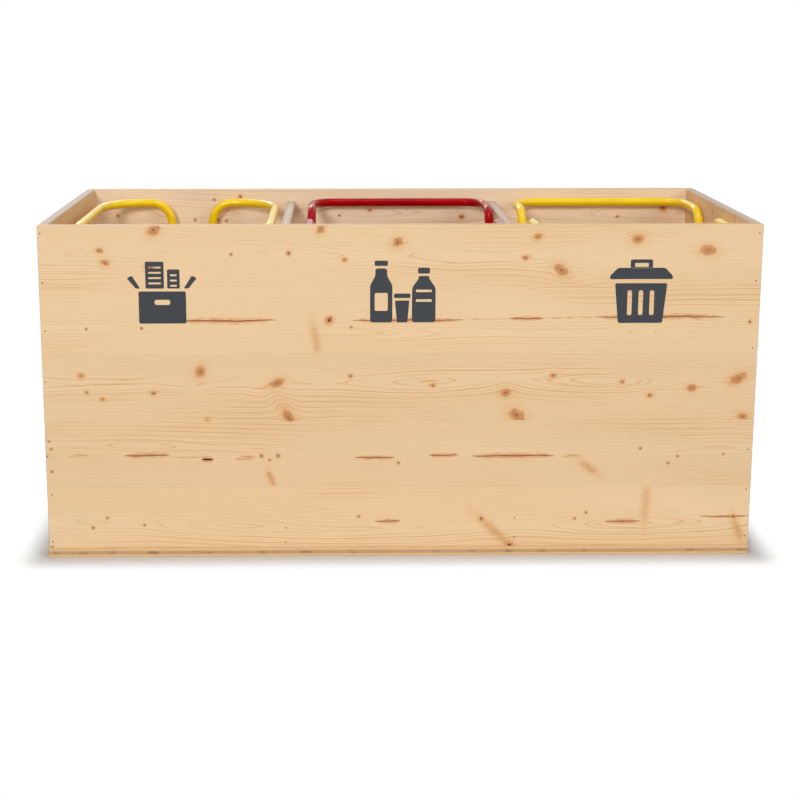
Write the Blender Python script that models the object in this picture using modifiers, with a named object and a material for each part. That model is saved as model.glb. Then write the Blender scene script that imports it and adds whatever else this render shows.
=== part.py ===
"""Recycling bin station: an open-topped casing of three-layer spruce board with three bays, a rear panel
that drops down, and in each bay a bent-tube trolley on castors.

Metres, +Z up, front towards -Y, origin on the floor at the middle.
"""

import math
from dataclasses import dataclass

import bmesh
import bpy
from mathutils import Matrix, Vector

# Casing
CASING_WIDTH = 2.090
CASING_DEPTH = 0.800
CASING_HEIGHT = 1.002
BOARD = 0.027
BASE_PROUD = 0.003
DIVIDER_DROP = 0.040
BAY_COUNT = 3
EDGE_EASE = 0.0012
FIT_GAP = 0.0003
SWING_GAP = 0.0015

# Rear panel hinges and magnet catches
HINGE_NAMES = ("left", "centre", "right")
HINGE_INSET = 0.300
HINGE_WIDTH = 0.064
HINGE_LEAF = 0.0018
PANEL_LEAF_HEIGHT = 0.042
BASE_LEAF_LIFT = 0.003
KNUCKLE_RADIUS = 0.005
KNUCKLE_GAP = 0.0004
PIN_RADIUS = 0.0024
PIN_CLEARANCE = 0.0004
CATCH_HEIGHT = 0.620
CATCH_SIZE = Vector((0.014, 0.046, 0.016))
STRIKE_SIZE = Vector((0.012, 0.0015, 0.038))
STRIKE_GAP = 0.0006

# Trolley tubes
TUBE = 0.028
RAIL_DROP = 0.040
BEND_RADIUS = 0.070
CORNER_RADIUS = 0.150
NOSE_LEG_SPACING = 0.139
SHORT_HOOP = 0.290
LONG_HOOP_TO_BAR = 0.112
LONG_REACH = 0.221
BAY_SIDE_CLEARANCE = 0.0258
BAY_END_CLEARANCE = 0.0190
FOOT_PLATE = 0.004
FOOT_MARGIN = 0.010
FOOT_LENGTH = 0.062
FOOT_SETBACK = 0.002

# Trolley deck and castors
DECK_THICKNESS = 0.018
DECK_CORNER = 0.030
DECK_TAIL = 0.058
WHEEL_DIAMETER = 0.075
WHEEL_WIDTH = 0.024
WHEEL_SIDE_GAP = 0.0012
HUB_RADIUS = 0.013
TYRE_EDGE = 0.004
TYRE_DEPTH = 0.009
WEB_RECESS = 0.004
AXLE_RADIUS = 0.005
AXLE_CLEARANCE = 0.0004
AXLE_HEAD_RADIUS = 0.008
AXLE_HEAD = 0.003
CASTOR_RISE = 0.025
CASTOR_TRAIL = 0.026
CASTOR_PLATE = Vector((0.058, 0.076, 0.003))
RACE_RADIUS = 0.021
RACE_HEIGHT = 0.007
FORK_STEEL = 0.0025
FORK_CROWN = 0.020
FORK_EYE = 0.011
CASTOR_SIDE_INSET = 0.078
CASTOR_NOSE_INSET = 0.085
CASTOR_TAIL_INSET = 0.095

# Facets
BEND_STEPS = 6
TUBE_BEVEL = 3
ROUND_SIDES = 16
EYE_STEPS = 8
DECK_CORNER_STEPS = 5

# Heights and clear spaces that follow
BASE_TOP = BOARD
BAY_WIDTH = (CASING_WIDTH - (BAY_COUNT + 1) * BOARD) / BAY_COUNT
BAY_DEPTH = CASING_DEPTH - 2 * BOARD
TROLLEY_LENGTH = BAY_DEPTH - 2 * BAY_END_CLEARANCE
TROLLEY_WIDTH = BAY_WIDTH - 2 * BAY_SIDE_CLEARANCE
RAIL_Z = CASING_HEIGHT - RAIL_DROP
WHEEL_Z = BASE_TOP + FIT_GAP + WHEEL_DIAMETER / 2
DECK_UNDER = BASE_TOP + FIT_GAP + WHEEL_DIAMETER + CASTOR_RISE
DECK_TOP = DECK_UNDER + DECK_THICKNESS
OUTER_TUBE_X = (TROLLEY_WIDTH - TUBE) / 2
NOSE_TUBE_Y = (TUBE - TROLLEY_LENGTH) / 2
HANDLE_BAR_Y = (TROLLEY_LENGTH - TUBE) / 2
LONG_HOOP = HANDLE_BAR_Y - NOSE_TUBE_Y - LONG_HOOP_TO_BAR
HINGE_AXIS_Y = CASING_DEPTH / 2 + FIT_GAP + KNUCKLE_RADIUS
HINGE_AXIS_Z = BASE_TOP + SWING_GAP
SIDE_NAMES = {-1: "left", 1: "right"}


@dataclass(frozen=True)
class TrolleyPlan:
    """One trolley: its bay, how it stands there, and where its tubes come down on the deck."""

    name: str
    bay: int
    shift: float
    facing: int
    paint: str
    hoop_length: float
    handle_reach: float

    def post_to_leg(self):
        """The distance along the deck from the hoops' posts to the handle's legs."""
        return HANDLE_BAR_Y - self.handle_reach - NOSE_TUBE_Y - self.hoop_length


TROLLEYS = (
    TrolleyPlan("left_trolley", 0, 0.007, -1, "yellow_paint", LONG_HOOP, 0.0),
    TrolleyPlan("middle_trolley", 1, 0.021, 1, "red_paint", SHORT_HOOP, LONG_REACH),
    TrolleyPlan("right_trolley", 2, 0.022, 1, "yellow_paint", SHORT_HOOP, LONG_REACH),
)


def clear_scene():
    """Remove every object, so that the script can run again in the same file."""
    for old in list(bpy.data.objects):
        bpy.data.objects.remove(old, do_unlink=True)


def finish(name, colour, roughness, metallic=0.0):
    """A Principled material."""
    material = bpy.data.materials.new(name)
    material.use_nodes = True
    shader = material.node_tree.nodes["Principled BSDF"]
    shader.inputs["Base Color"].default_value = (*colour, 1.0)
    shader.inputs["Roughness"].default_value = roughness
    shader.inputs["Metallic"].default_value = metallic
    return material


def make_finishes():
    """Every finish of the station, by name."""
    return {
        "spruce_board": finish("spruce_board", (0.80, 0.58, 0.36), 0.55),
        "birch_deck": finish("birch_deck", (0.66, 0.50, 0.33), 0.60),
        "yellow_paint": finish("yellow_paint", (0.84, 0.55, 0.02), 0.28),
        "red_paint": finish("red_paint", (0.42, 0.005, 0.02), 0.28),
        "zinc_steel": finish("zinc_steel", (0.62, 0.63, 0.64), 0.38, 1.0),
        "grey_rubber": finish("grey_rubber", (0.10, 0.10, 0.11), 0.65),
        "white_plastic": finish("white_plastic", (0.72, 0.72, 0.70), 0.45),
    }


def mesh_from(build_steps, name):
    """A mesh made by the given bmesh steps, with its doubles merged and its faces turned outwards."""
    work = bmesh.new()
    build_steps(work)
    bmesh.ops.remove_doubles(work, verts=work.verts, dist=1e-6)
    bmesh.ops.recalc_face_normals(work, faces=work.faces)
    mesh = bpy.data.meshes.new(name)
    work.to_mesh(mesh)
    work.free()
    return mesh


def evaluated_mesh(name, data, modify=None):
    """The closed mesh of a curve, or of a mesh with modifiers, as the viewport shows it."""
    source = bpy.data.objects.new(name, data)
    bpy.context.scene.collection.objects.link(source)
    if modify:
        modify(source)
    bpy.context.view_layer.update()
    seen = source.evaluated_get(bpy.context.evaluated_depsgraph_get())
    mesh = bpy.data.meshes.new_from_object(seen)
    bpy.data.objects.remove(source, do_unlink=True)
    return mesh_from(lambda work: work.from_mesh(mesh), name)


def box(low, high):
    """A box mesh between two corners."""
    low, high = Vector(low), Vector(high)

    def steps(work):
        bmesh.ops.create_cube(work, size=1.0)
        bmesh.ops.scale(work, vec=high - low, verts=work.verts)
        bmesh.ops.translate(work, vec=(low + high) / 2, verts=work.verts)

    return mesh_from(steps, "box")


def rod(radius, start, end):
    """A cylinder between two points on a line along X or Z."""
    start, end = Vector(start), Vector(end)
    turn = (end - start).to_track_quat("Z", "Y").to_matrix().to_4x4()
    place = Matrix.Translation((start + end) / 2) @ turn

    def steps(work):
        bmesh.ops.create_cone(work, cap_ends=True, segments=ROUND_SIDES, radius1=radius, radius2=radius,
                              depth=(end - start).length, matrix=place)

    return mesh_from(steps, "rod")


def fuse(name, meshes, cutters=()):
    """One closed body from overlapping closed meshes, less any cutters."""
    added = [(mesh, "UNION") for mesh in meshes[1:]] + [(mesh, "DIFFERENCE") for mesh in cutters]
    tools = []

    def modify(body):
        for mesh, operation in added:
            tool = bpy.data.objects.new(name + "_tool", mesh)
            bpy.context.scene.collection.objects.link(tool)
            step = body.modifiers.new(operation.lower(), "BOOLEAN")
            step.operation = operation
            step.object = tool
            tools.append(tool)

    fused = evaluated_mesh(name, meshes[0], modify)
    for tool in tools:
        bpy.data.objects.remove(tool, do_unlink=True)
    return fused


def bent_path(corners, radii):
    """Points along straight runs between corners, with each inner corner bent to its radius."""
    corners = [Vector(corner) for corner in corners]
    points = [corners[0]]
    for before, corner, after, radius in zip(corners, corners[1:], corners[2:], radii):
        back = (before - corner).normalized()
        ahead = (after - corner).normalized()
        half_angle = back.angle(ahead) / 2
        centre = corner + (back + ahead).normalized() * radius / math.sin(half_angle)
        reach = radius / math.tan(half_angle)
        start = corner + back * reach - centre
        end = corner + ahead * reach - centre
        sweep = start.angle(end)
        points += [centre + Matrix.Rotation(sweep * step / BEND_STEPS, 3, start.cross(end)) @ start
                   for step in range(BEND_STEPS + 1)]
    points.append(corners[-1])
    return points


def tube(points):
    """A round tube along points, closed at both ends."""
    curve = bpy.data.curves.new("tube", "CURVE")
    curve.dimensions = "3D"
    curve.bevel_depth = TUBE / 2
    curve.bevel_resolution = TUBE_BEVEL
    curve.use_fill_caps = True
    spline = curve.splines.new("POLY")
    spline.points.add(len(points) - 1)
    for point, place in zip(spline.points, points):
        point.co = (*place, 1.0)
    return evaluated_mesh("tube", curve)


def flat_plate(outline, thickness, place):
    """A flat plate from a closed outline, extruded both ways and then placed."""
    curve = bpy.data.curves.new("plate", "CURVE")
    curve.dimensions = "2D"
    curve.fill_mode = "BOTH"
    curve.extrude = thickness / 2
    spline = curve.splines.new("POLY")
    spline.points.add(len(outline) - 1)
    for point, (across, up) in zip(spline.points, outline):
        point.co = (across, up, 0.0, 1.0)
    spline.use_cyclic_u = True
    plate = evaluated_mesh("plate", curve)
    plate.transform(place)
    return plate


class Station:
    """The collection that holds the station, and the way pieces are put in it."""

    def __init__(self):
        self.finishes = make_finishes()
        self.collection = bpy.data.collections.new("recycling_bin_station")
        bpy.context.scene.collection.children.link(self.collection)

    def pivot(self, name, place, parent=None, turn=0.0):
        """An empty on a joint's axis, turned about +Z."""
        empty = bpy.data.objects.new(name, None)
        empty.location = place
        empty.rotation_euler = (0.0, 0.0, turn)
        empty.parent = parent
        self.collection.objects.link(empty)
        return empty

    def piece(self, name, mesh, finish_name, place=(0.0, 0.0, 0.0), parent=None):
        """A named piece with its finish, with its mesh moved so that place is its origin."""
        mesh.transform(Matrix.Translation(-Vector(place)))
        mesh.name = name
        mesh.materials.clear()
        mesh.materials.append(self.finishes[finish_name])
        made = bpy.data.objects.new(name, mesh)
        made.location = place
        made.parent = parent
        self.collection.objects.link(made)
        return made

    def board(self, name, low, high, parent=None, finish_name="spruce_board"):
        """A board between two corners, with eased edges."""
        low, high = Vector(low), Vector(high)
        made = self.piece(name, box(low, high), finish_name, (low + high) / 2, parent)
        ease = made.modifiers.new("eased_edges", "BEVEL")
        ease.width = EDGE_EASE
        ease.segments = 1
        return made


def build_casing(station):
    """The fixed boards: base, front, sides and dividers."""
    half_width = CASING_WIDTH / 2
    half_depth = CASING_DEPTH / 2
    inner_front = -half_depth + BOARD
    inner_rear = half_depth - BOARD
    stand = BASE_TOP + FIT_GAP
    station.board("base_board", (-half_width - BASE_PROUD, -half_depth - BASE_PROUD, 0.0),
                  (half_width + BASE_PROUD, half_depth, BASE_TOP))
    station.board("front_panel", (-half_width, -half_depth, stand), (half_width, inner_front, CASING_HEIGHT))
    for side, side_name in SIDE_NAMES.items():
        faces = sorted((side * half_width, side * (half_width - BOARD)))
        station.board(f"{side_name}_side_panel", (faces[0], inner_front + FIT_GAP, stand),
                      (faces[1], inner_rear - FIT_GAP, CASING_HEIGHT))
        middle = side * (BAY_WIDTH + BOARD) / 2
        station.board(f"{side_name}_divider", (middle - BOARD / 2, inner_front + FIT_GAP, stand),
                      (middle + BOARD / 2, inner_rear - SWING_GAP, CASING_HEIGHT - DIVIDER_DROP))
        catch_face = side * (half_width - BOARD - FIT_GAP)
        catch = sorted((catch_face, catch_face - side * CATCH_SIZE.x))
        catch_rear = inner_rear - STRIKE_SIZE.y - STRIKE_GAP
        station.piece(f"{side_name}_magnet_catch",
                      box((catch[0], catch_rear - CATCH_SIZE.y, CATCH_HEIGHT - CATCH_SIZE.z / 2),
                          (catch[1], catch_rear, CATCH_HEIGHT + CATCH_SIZE.z / 2)), "white_plastic")


def base_leaf(middle):
    """A hinge leaf for the base board's rear edge, with its two outer knuckles and the pin."""
    half = HINGE_WIDTH / 2
    third = HINGE_WIDTH / 6 + KNUCKLE_GAP
    back = CASING_DEPTH / 2 + FIT_GAP
    plate_top = HINGE_AXIS_Z - KNUCKLE_RADIUS - KNUCKLE_GAP
    meshes = [box((middle - half, back, BASE_LEAF_LIFT), (middle + half, back + HINGE_LEAF, plate_top))]
    for side in SIDE_NAMES:
        inner, outer = sorted((middle + side * third, middle + side * half))
        ends = [(end, HINGE_AXIS_Y, HINGE_AXIS_Z) for end in (inner, outer)]
        meshes.append(rod(KNUCKLE_RADIUS, *ends))
        meshes.append(box((inner, back, plate_top - HINGE_LEAF), (outer, back + HINGE_LEAF, HINGE_AXIS_Z)))
    pin_ends = [(middle + side * (half - HINGE_LEAF), HINGE_AXIS_Y, HINGE_AXIS_Z) for side in SIDE_NAMES]
    meshes.append(rod(PIN_RADIUS, *pin_ends))
    return fuse("base_leaf", meshes)


def panel_leaf(middle):
    """A hinge leaf for the rear panel's outer face, with its middle knuckle bored for the pin."""
    half = HINGE_WIDTH / 2
    third = HINGE_WIDTH / 6 - KNUCKLE_GAP
    back = CASING_DEPTH / 2 + FIT_GAP
    plate_foot = HINGE_AXIS_Z + KNUCKLE_RADIUS + KNUCKLE_GAP
    front = back + HINGE_LEAF
    plate = box((middle - half, back, plate_foot), (middle + half, front, plate_foot + PANEL_LEAF_HEIGHT))
    neck = box((middle - third, back, HINGE_AXIS_Z), (middle + third, front, plate_foot + HINGE_LEAF))
    ends = [Vector((middle + side * third, HINGE_AXIS_Y, HINGE_AXIS_Z)) for side in SIDE_NAMES]
    spare = Vector((HINGE_LEAF, 0.0, 0.0))
    bore = rod(PIN_RADIUS + PIN_CLEARANCE, ends[0] - spare, ends[1] + spare)
    return fuse("panel_leaf", [plate, neck, rod(KNUCKLE_RADIUS, *ends)], [bore])


def build_rear_panel(station):
    """The one-piece rear panel that drops down on its hinges, with its strike plates."""
    half_width = CASING_WIDTH / 2
    outer = CASING_DEPTH / 2
    axis = Vector((0.0, HINGE_AXIS_Y, HINGE_AXIS_Z))
    swing = station.pivot("rear_panel_hinge_axis", axis)
    station.board("rear_panel", Vector((-half_width, outer - BOARD, HINGE_AXIS_Z)) - axis,
                  Vector((half_width, outer, CASING_HEIGHT)) - axis, swing)
    for place, name in zip((-1, 0, 1), HINGE_NAMES):
        middle = place * (half_width - HINGE_INSET)
        station.piece(f"{name}_hinge_base_leaf", base_leaf(middle), "zinc_steel")
        moving = panel_leaf(middle)
        moving.transform(Matrix.Translation(-axis))
        station.piece(f"{name}_hinge_panel_leaf", moving, "zinc_steel", parent=swing)
    for side, name in SIDE_NAMES.items():
        centre = side * (half_width - BOARD - FIT_GAP - CATCH_SIZE.x / 2)
        front = outer - BOARD - FIT_GAP - STRIKE_SIZE.y
        low = Vector((centre - STRIKE_SIZE.x / 2, front, CATCH_HEIGHT - STRIKE_SIZE.z / 2)) - axis
        station.piece(f"{name}_strike_plate", box(low, low + STRIKE_SIZE), "zinc_steel", parent=swing)


def foot(x, y, inward):
    """The flat foot welded under a tube's end, reaching inwards over the deck."""
    half_width = TUBE / 2 + FOOT_MARGIN
    outer = y - inward * (TUBE / 2 - FOOT_SETBACK)
    ends = sorted((outer, outer + inward * FOOT_LENGTH))
    low = DECK_TOP + FIT_GAP
    return box((x - half_width, ends[0], low), (x + half_width, ends[1], low + FOOT_PLATE))


def side_foot(x, y, inward, room):
    """A foot reaching inwards across the deck from a tube at its side, within the room to the next."""
    half_length = min(TUBE / 2 + FOOT_MARGIN, (room - FIT_GAP) / 2)
    outer = x - inward * (TUBE / 2 - FOOT_SETBACK)
    ends = sorted((outer, outer + inward * FOOT_LENGTH))
    low = DECK_TOP + FIT_GAP
    return box((ends[0], y - half_length, low), (ends[1], y + half_length, low + FOOT_PLATE))


def hoop(side, length, room):
    """One wrap-round hoop: a nose leg, the nose corner, the side rail and its post at the rear."""
    foot_z = DECK_TOP + FIT_GAP + FOOT_PLATE / 2
    inner_x = side * NOSE_LEG_SPACING / 2
    outer_x = side * OUTER_TUBE_X
    post_y = NOSE_TUBE_Y + length
    corner = min(CORNER_RADIUS, OUTER_TUBE_X - NOSE_LEG_SPACING / 2 - BEND_RADIUS)
    corners = ((inner_x, NOSE_TUBE_Y, foot_z), (inner_x, NOSE_TUBE_Y, RAIL_Z), (outer_x, NOSE_TUBE_Y, RAIL_Z),
               (outer_x, post_y, RAIL_Z), (outer_x, post_y, foot_z))
    path = bent_path(corners, (BEND_RADIUS, corner, BEND_RADIUS))
    return fuse("hoop", [tube(path), foot(inner_x, NOSE_TUBE_Y, 1), side_foot(outer_x, post_y, -side, room)])


def push_handle(reach, room):
    """The U handle. With a reach its legs stand in from the bar; with none the U is upright."""
    foot_z = DECK_TOP + FIT_GAP + FOOT_PLATE / 2
    leg_y = HANDLE_BAR_Y - reach
    left, right = -OUTER_TUBE_X, OUTER_TUBE_X
    corners = [(left, leg_y, foot_z), (left, leg_y, RAIL_Z), (right, leg_y, RAIL_Z), (right, leg_y, foot_z)]
    if reach:
        corners[2:2] = [(left, HANDLE_BAR_Y, RAIL_Z), (right, HANDLE_BAR_Y, RAIL_Z)]
    path = bent_path(corners, [BEND_RADIUS] * (len(corners) - 2))
    feet = [side_foot(left, leg_y, 1, room), side_foot(right, leg_y, -1, room)]
    return fuse("push_handle", [tube(path), *feet])


def deck(tail):
    """The deck board, with rounded corners in plan."""
    half = TROLLEY_WIDTH / 2
    low, high = Vector((-half, -TROLLEY_LENGTH / 2, DECK_UNDER)), Vector((half, tail, DECK_TOP))

    def steps(work):
        work.from_mesh(box(low, high))
        upright = [edge for edge in work.edges if abs(edge.verts[0].co.z - edge.verts[1].co.z) > FIT_GAP]
        bmesh.ops.bevel(work, geom=upright, offset=DECK_CORNER, segments=DECK_CORNER_STEPS, profile=0.5,
                        affect="EDGES")

    return mesh_from(steps, "deck")


def fork_legs(trail, top):
    """Two side plates of a castor fork, tapering from the crown to an eye round the axle."""
    reach = Vector((trail, WHEEL_Z))
    crown = [Vector((-FORK_CROWN, top)), Vector((FORK_CROWN, top))]
    bearing = [math.atan2((point - reach).y, (point - reach).x) for point in crown]
    lean = [math.acos(FORK_EYE / (point - reach).length) for point in crown]
    start, end = bearing[1] - lean[1], bearing[0] + lean[0] - 2 * math.pi
    eye = [reach + FORK_EYE * Vector((math.cos(turn), math.sin(turn)))
           for turn in (start + (end - start) * step / EYE_STEPS for step in range(EYE_STEPS + 1))]
    outline = [(point.x, point.y) for point in crown + eye]
    upright = Matrix(((0, 0, 1, 0), (1, 0, 0, 0), (0, 1, 0, 0), (0, 0, 0, 1)))
    beside = WHEEL_WIDTH / 2 + WHEEL_SIDE_GAP + FORK_STEEL / 2
    places = [Matrix.Translation((side * beside, 0, 0)) @ upright for side in SIDE_NAMES]
    return [flat_plate(outline, FORK_STEEL, place) for place in places]


def axle(trail):
    """The axle bolt across the fork, with a head at each end."""
    outer = WHEEL_WIDTH / 2 + WHEEL_SIDE_GAP + FORK_STEEL
    shank = rod(AXLE_RADIUS, (-outer, trail, WHEEL_Z), (outer, trail, WHEEL_Z))
    heads = [rod(AXLE_HEAD_RADIUS, (side * (outer - FORK_STEEL / 2), trail, WHEEL_Z),
                 (side * (outer + AXLE_HEAD), trail, WHEEL_Z)) for side in SIDE_NAMES]
    return [shank, *heads]


def top_plate():
    """The plate that fixes a castor under the deck."""
    half = CASTOR_PLATE / 2
    top = DECK_UNDER - FIT_GAP
    return box((-half.x, -half.y, top - CASTOR_PLATE.z), (half.x, half.y, top))


def swivel_plate():
    """The fixed half of a swivel castor: top plate and ball race."""
    top = DECK_UNDER - FIT_GAP - CASTOR_PLATE.z / 2
    foot_z = DECK_UNDER - FIT_GAP - CASTOR_PLATE.z - RACE_HEIGHT
    return fuse("swivel_plate", [top_plate(), rod(RACE_RADIUS, (0, 0, foot_z), (0, 0, top))])


def swivel_fork():
    """The turning half of a swivel castor: crown, legs and axle."""
    top = DECK_UNDER - 2 * FIT_GAP - CASTOR_PLATE.z - RACE_HEIGHT
    outer = WHEEL_WIDTH / 2 + WHEEL_SIDE_GAP + FORK_STEEL
    crown = box((-outer, -FORK_CROWN, top - FORK_STEEL), (outer, FORK_CROWN, top))
    return fuse("swivel_fork", [crown, *fork_legs(CASTOR_TRAIL, top), *axle(CASTOR_TRAIL)])


def fixed_fork():
    """A fixed castor's plate, legs and axle in one welded piece."""
    top = DECK_UNDER - FIT_GAP - CASTOR_PLATE.z / 2
    return fuse("fixed_fork", [top_plate(), *fork_legs(0.0, top), *axle(0.0)])


def wheel():
    """A castor wheel turned about X: bored hub, recessed web and a rounded tyre."""
    radius, half = WHEEL_DIAMETER / 2, WHEEL_WIDTH / 2
    rim = radius - TYRE_DEPTH
    side = ((radius, half - TYRE_EDGE), (radius - TYRE_EDGE, half), (rim, half - WEB_RECESS),
            (HUB_RADIUS, half - WEB_RECESS), (HUB_RADIUS, half), (AXLE_RADIUS + AXLE_CLEARANCE, half))
    loop = [(out, -along) for out, along in side] + [(out, along) for out, along in reversed(side)]

    def steps(work):
        points = [work.verts.new((out, 0.0, along)) for out, along in loop]
        for here, there in zip(points, points[1:] + points[:1]):
            work.edges.new((here, there))

    def turn(profile):
        lathe = profile.modifiers.new("lathe", "SCREW")
        lathe.steps = ROUND_SIDES
        lathe.render_steps = ROUND_SIDES
        lathe.use_merge_vertices = True
        lathe.merge_threshold = 1e-5

    turned = evaluated_mesh("wheel", mesh_from(steps, "wheel_profile"), turn)
    turned.transform(Matrix.Rotation(math.pi / 2, 4, "Y"))
    return turned


def build_castors(station, plan, stand, tail):
    """Two fixed castors at the nose and two swivel castors at the handle end."""
    nose_y = -TROLLEY_LENGTH / 2 + CASTOR_NOSE_INSET
    tail_y = tail - CASTOR_TAIL_INSET
    for side in SIDE_NAMES:
        name = f"{plan.name}_{SIDE_NAMES[side * plan.facing]}"
        x = side * (TROLLEY_WIDTH / 2 - CASTOR_SIDE_INSET)
        fixed = station.pivot(f"{name}_fixed_castor", (x, nose_y, 0.0), stand)
        station.piece(f"{name}_fixed_fork", fixed_fork(), "zinc_steel", parent=fixed)
        rolling = station.piece(f"{name}_fixed_wheel", wheel(), "grey_rubber", parent=fixed)
        rolling.location = (0.0, 0.0, WHEEL_Z)
        swivel = station.pivot(f"{name}_swivel_axis", (x, tail_y, 0.0), stand)
        station.piece(f"{name}_swivel_plate", swivel_plate(), "zinc_steel", parent=swivel)
        station.piece(f"{name}_swivel_fork", swivel_fork(), "zinc_steel", parent=swivel)
        turning = station.piece(f"{name}_swivel_wheel", wheel(), "grey_rubber", parent=swivel)
        turning.location = (0.0, CASTOR_TRAIL, WHEEL_Z)


def build_trolley(station, plan):
    """One trolley, in its bay, with its handle to the rear or, turned round, to the front."""
    bay_x = (plan.bay - (BAY_COUNT - 1) / 2) * (BAY_WIDTH + BOARD)
    turn = 0.0 if plan.facing > 0 else math.pi
    stand = station.pivot(f"{plan.name}_lift_axis", (bay_x + plan.shift, 0.0, 0.0), turn=turn)
    tail = min(HANDLE_BAR_Y - plan.handle_reach + DECK_TAIL, TROLLEY_LENGTH / 2)
    room = plan.post_to_leg()
    station.piece(f"{plan.name}_deck", deck(tail), "birch_deck", parent=stand)
    for side in SIDE_NAMES:
        name = f"{plan.name}_{SIDE_NAMES[side * plan.facing]}_hoop"
        station.piece(name, hoop(side, plan.hoop_length, room), plan.paint, parent=stand)
    station.piece(f"{plan.name}_push_handle", push_handle(plan.handle_reach, room), plan.paint, parent=stand)
    build_castors(station, plan, stand, tail)


def main():
    """Build the whole station."""
    clear_scene()
    station = Station()
    build_casing(station)
    build_rear_panel(station)
    for plan in TROLLEYS:
        build_trolley(station, plan)


main()
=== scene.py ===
"""Looks of the recycling bin station: boards, painted tubes, castors, fixings, pictograms and studio."""

from __future__ import annotations

import logging
import math
import random
from dataclasses import dataclass, replace
from enum import Enum
from types import SimpleNamespace
from typing import Iterable, Optional, Sequence, Union

import bmesh
import bpy
from mathutils import Matrix, Vector

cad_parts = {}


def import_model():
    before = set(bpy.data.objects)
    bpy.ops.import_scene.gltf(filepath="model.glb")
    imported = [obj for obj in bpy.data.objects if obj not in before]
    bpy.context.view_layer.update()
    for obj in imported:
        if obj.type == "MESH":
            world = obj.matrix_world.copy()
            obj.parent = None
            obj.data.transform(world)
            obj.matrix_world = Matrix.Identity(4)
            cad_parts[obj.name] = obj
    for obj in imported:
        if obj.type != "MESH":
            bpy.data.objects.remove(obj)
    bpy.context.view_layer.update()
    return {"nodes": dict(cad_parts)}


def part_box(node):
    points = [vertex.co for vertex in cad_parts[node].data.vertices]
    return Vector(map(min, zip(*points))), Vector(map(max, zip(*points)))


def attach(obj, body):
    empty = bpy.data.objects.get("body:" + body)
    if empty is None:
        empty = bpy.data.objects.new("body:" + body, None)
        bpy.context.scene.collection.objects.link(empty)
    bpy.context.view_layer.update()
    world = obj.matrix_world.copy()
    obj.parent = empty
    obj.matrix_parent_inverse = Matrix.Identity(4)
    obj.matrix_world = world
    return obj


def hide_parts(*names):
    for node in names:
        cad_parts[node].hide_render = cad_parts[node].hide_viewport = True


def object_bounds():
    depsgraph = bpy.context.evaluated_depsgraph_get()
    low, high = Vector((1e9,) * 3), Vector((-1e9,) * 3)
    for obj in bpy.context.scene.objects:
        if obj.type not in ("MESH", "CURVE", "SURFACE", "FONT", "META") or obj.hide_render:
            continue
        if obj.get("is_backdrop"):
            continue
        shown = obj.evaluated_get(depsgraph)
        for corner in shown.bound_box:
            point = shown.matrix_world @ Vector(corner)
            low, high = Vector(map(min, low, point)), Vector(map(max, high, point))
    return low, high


LOG = logging.getLogger("bin_station")
Colour = tuple[float, float, float]
Point = Union[Vector, tuple[float, float, float]]
Outline = list[tuple[float, float]]
Span = tuple[float, float]


class Axis(Enum):
    """A direction of the shared frame."""

    X = 0
    Y = 1
    Z = 2


class Side(Enum):
    """A side of the station as seen from the front."""

    LEFT = -1
    RIGHT = 1

    @property
    def word(self) -> str:
        """The side's name in node names."""
        return self.name.lower()


class Slot(Enum):
    """The record's material slots that new pieces take."""

    YELLOW = "yellow_paint"
    RED = "red_paint"
    ZINC = "zinc_steel"
    RUBBER = "grey_rubber"
    PLASTIC = "white_plastic"


def tint(red: int, green: int, blue: int) -> Colour:
    """Turn a display colour, with parts from 0 to 255, into the linear colour that a shader takes."""
    parts = (part / 255 for part in (red, green, blue))
    return tuple(part / 12.92 if part <= 0.04045 else ((part + 0.055) / 1.055) ** 2.4 for part in parts)


def stood(place: Vector, axis: Vector) -> Matrix:
    """The matrix that puts a shape's middle at a place and its own Z along an axis."""
    return Matrix.Translation(place) @ axis.to_track_quat("Z", "Y").to_matrix().to_4x4()


def dress(node: bpy.types.Object, material: bpy.types.Material) -> None:
    """Put one material on a CAD node.

    Args:
        node: The node.
        material: The material.
    """
    for slot in node.material_slots:
        slot.material = material
    LOG.info("%s wears %s", node.name, material.name)


@dataclass(frozen=True)
class Wire:
    """A node's output, with the arithmetic that the finishes are drawn from."""

    sheet: NodeSheet
    socket: bpy.types.NodeSocket

    def __add__(self, other: Value) -> Wire:
        """The sum."""
        return self.sheet.maths("ADD", self, other)

    def __radd__(self, other: float) -> Wire:
        """The sum of a number and this."""
        return self.sheet.maths("ADD", other, self)

    def __sub__(self, other: Value) -> Wire:
        """The difference."""
        return self.sheet.maths("SUBTRACT", self, other)

    def __rsub__(self, other: float) -> Wire:
        """The difference between a number and this."""
        return self.sheet.maths("SUBTRACT", other, self)

    def __mul__(self, other: Value) -> Wire:
        """The product."""
        return self.sheet.maths("MULTIPLY", self, other)

    def __truediv__(self, other: Value) -> Wire:
        """The quotient."""
        return self.sheet.maths("DIVIDE", self, other)

    def __abs__(self) -> Wire:
        """The size without the sign."""
        return self.sheet.maths("ABSOLUTE", self)


Value = Union[float, Wire]


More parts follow.
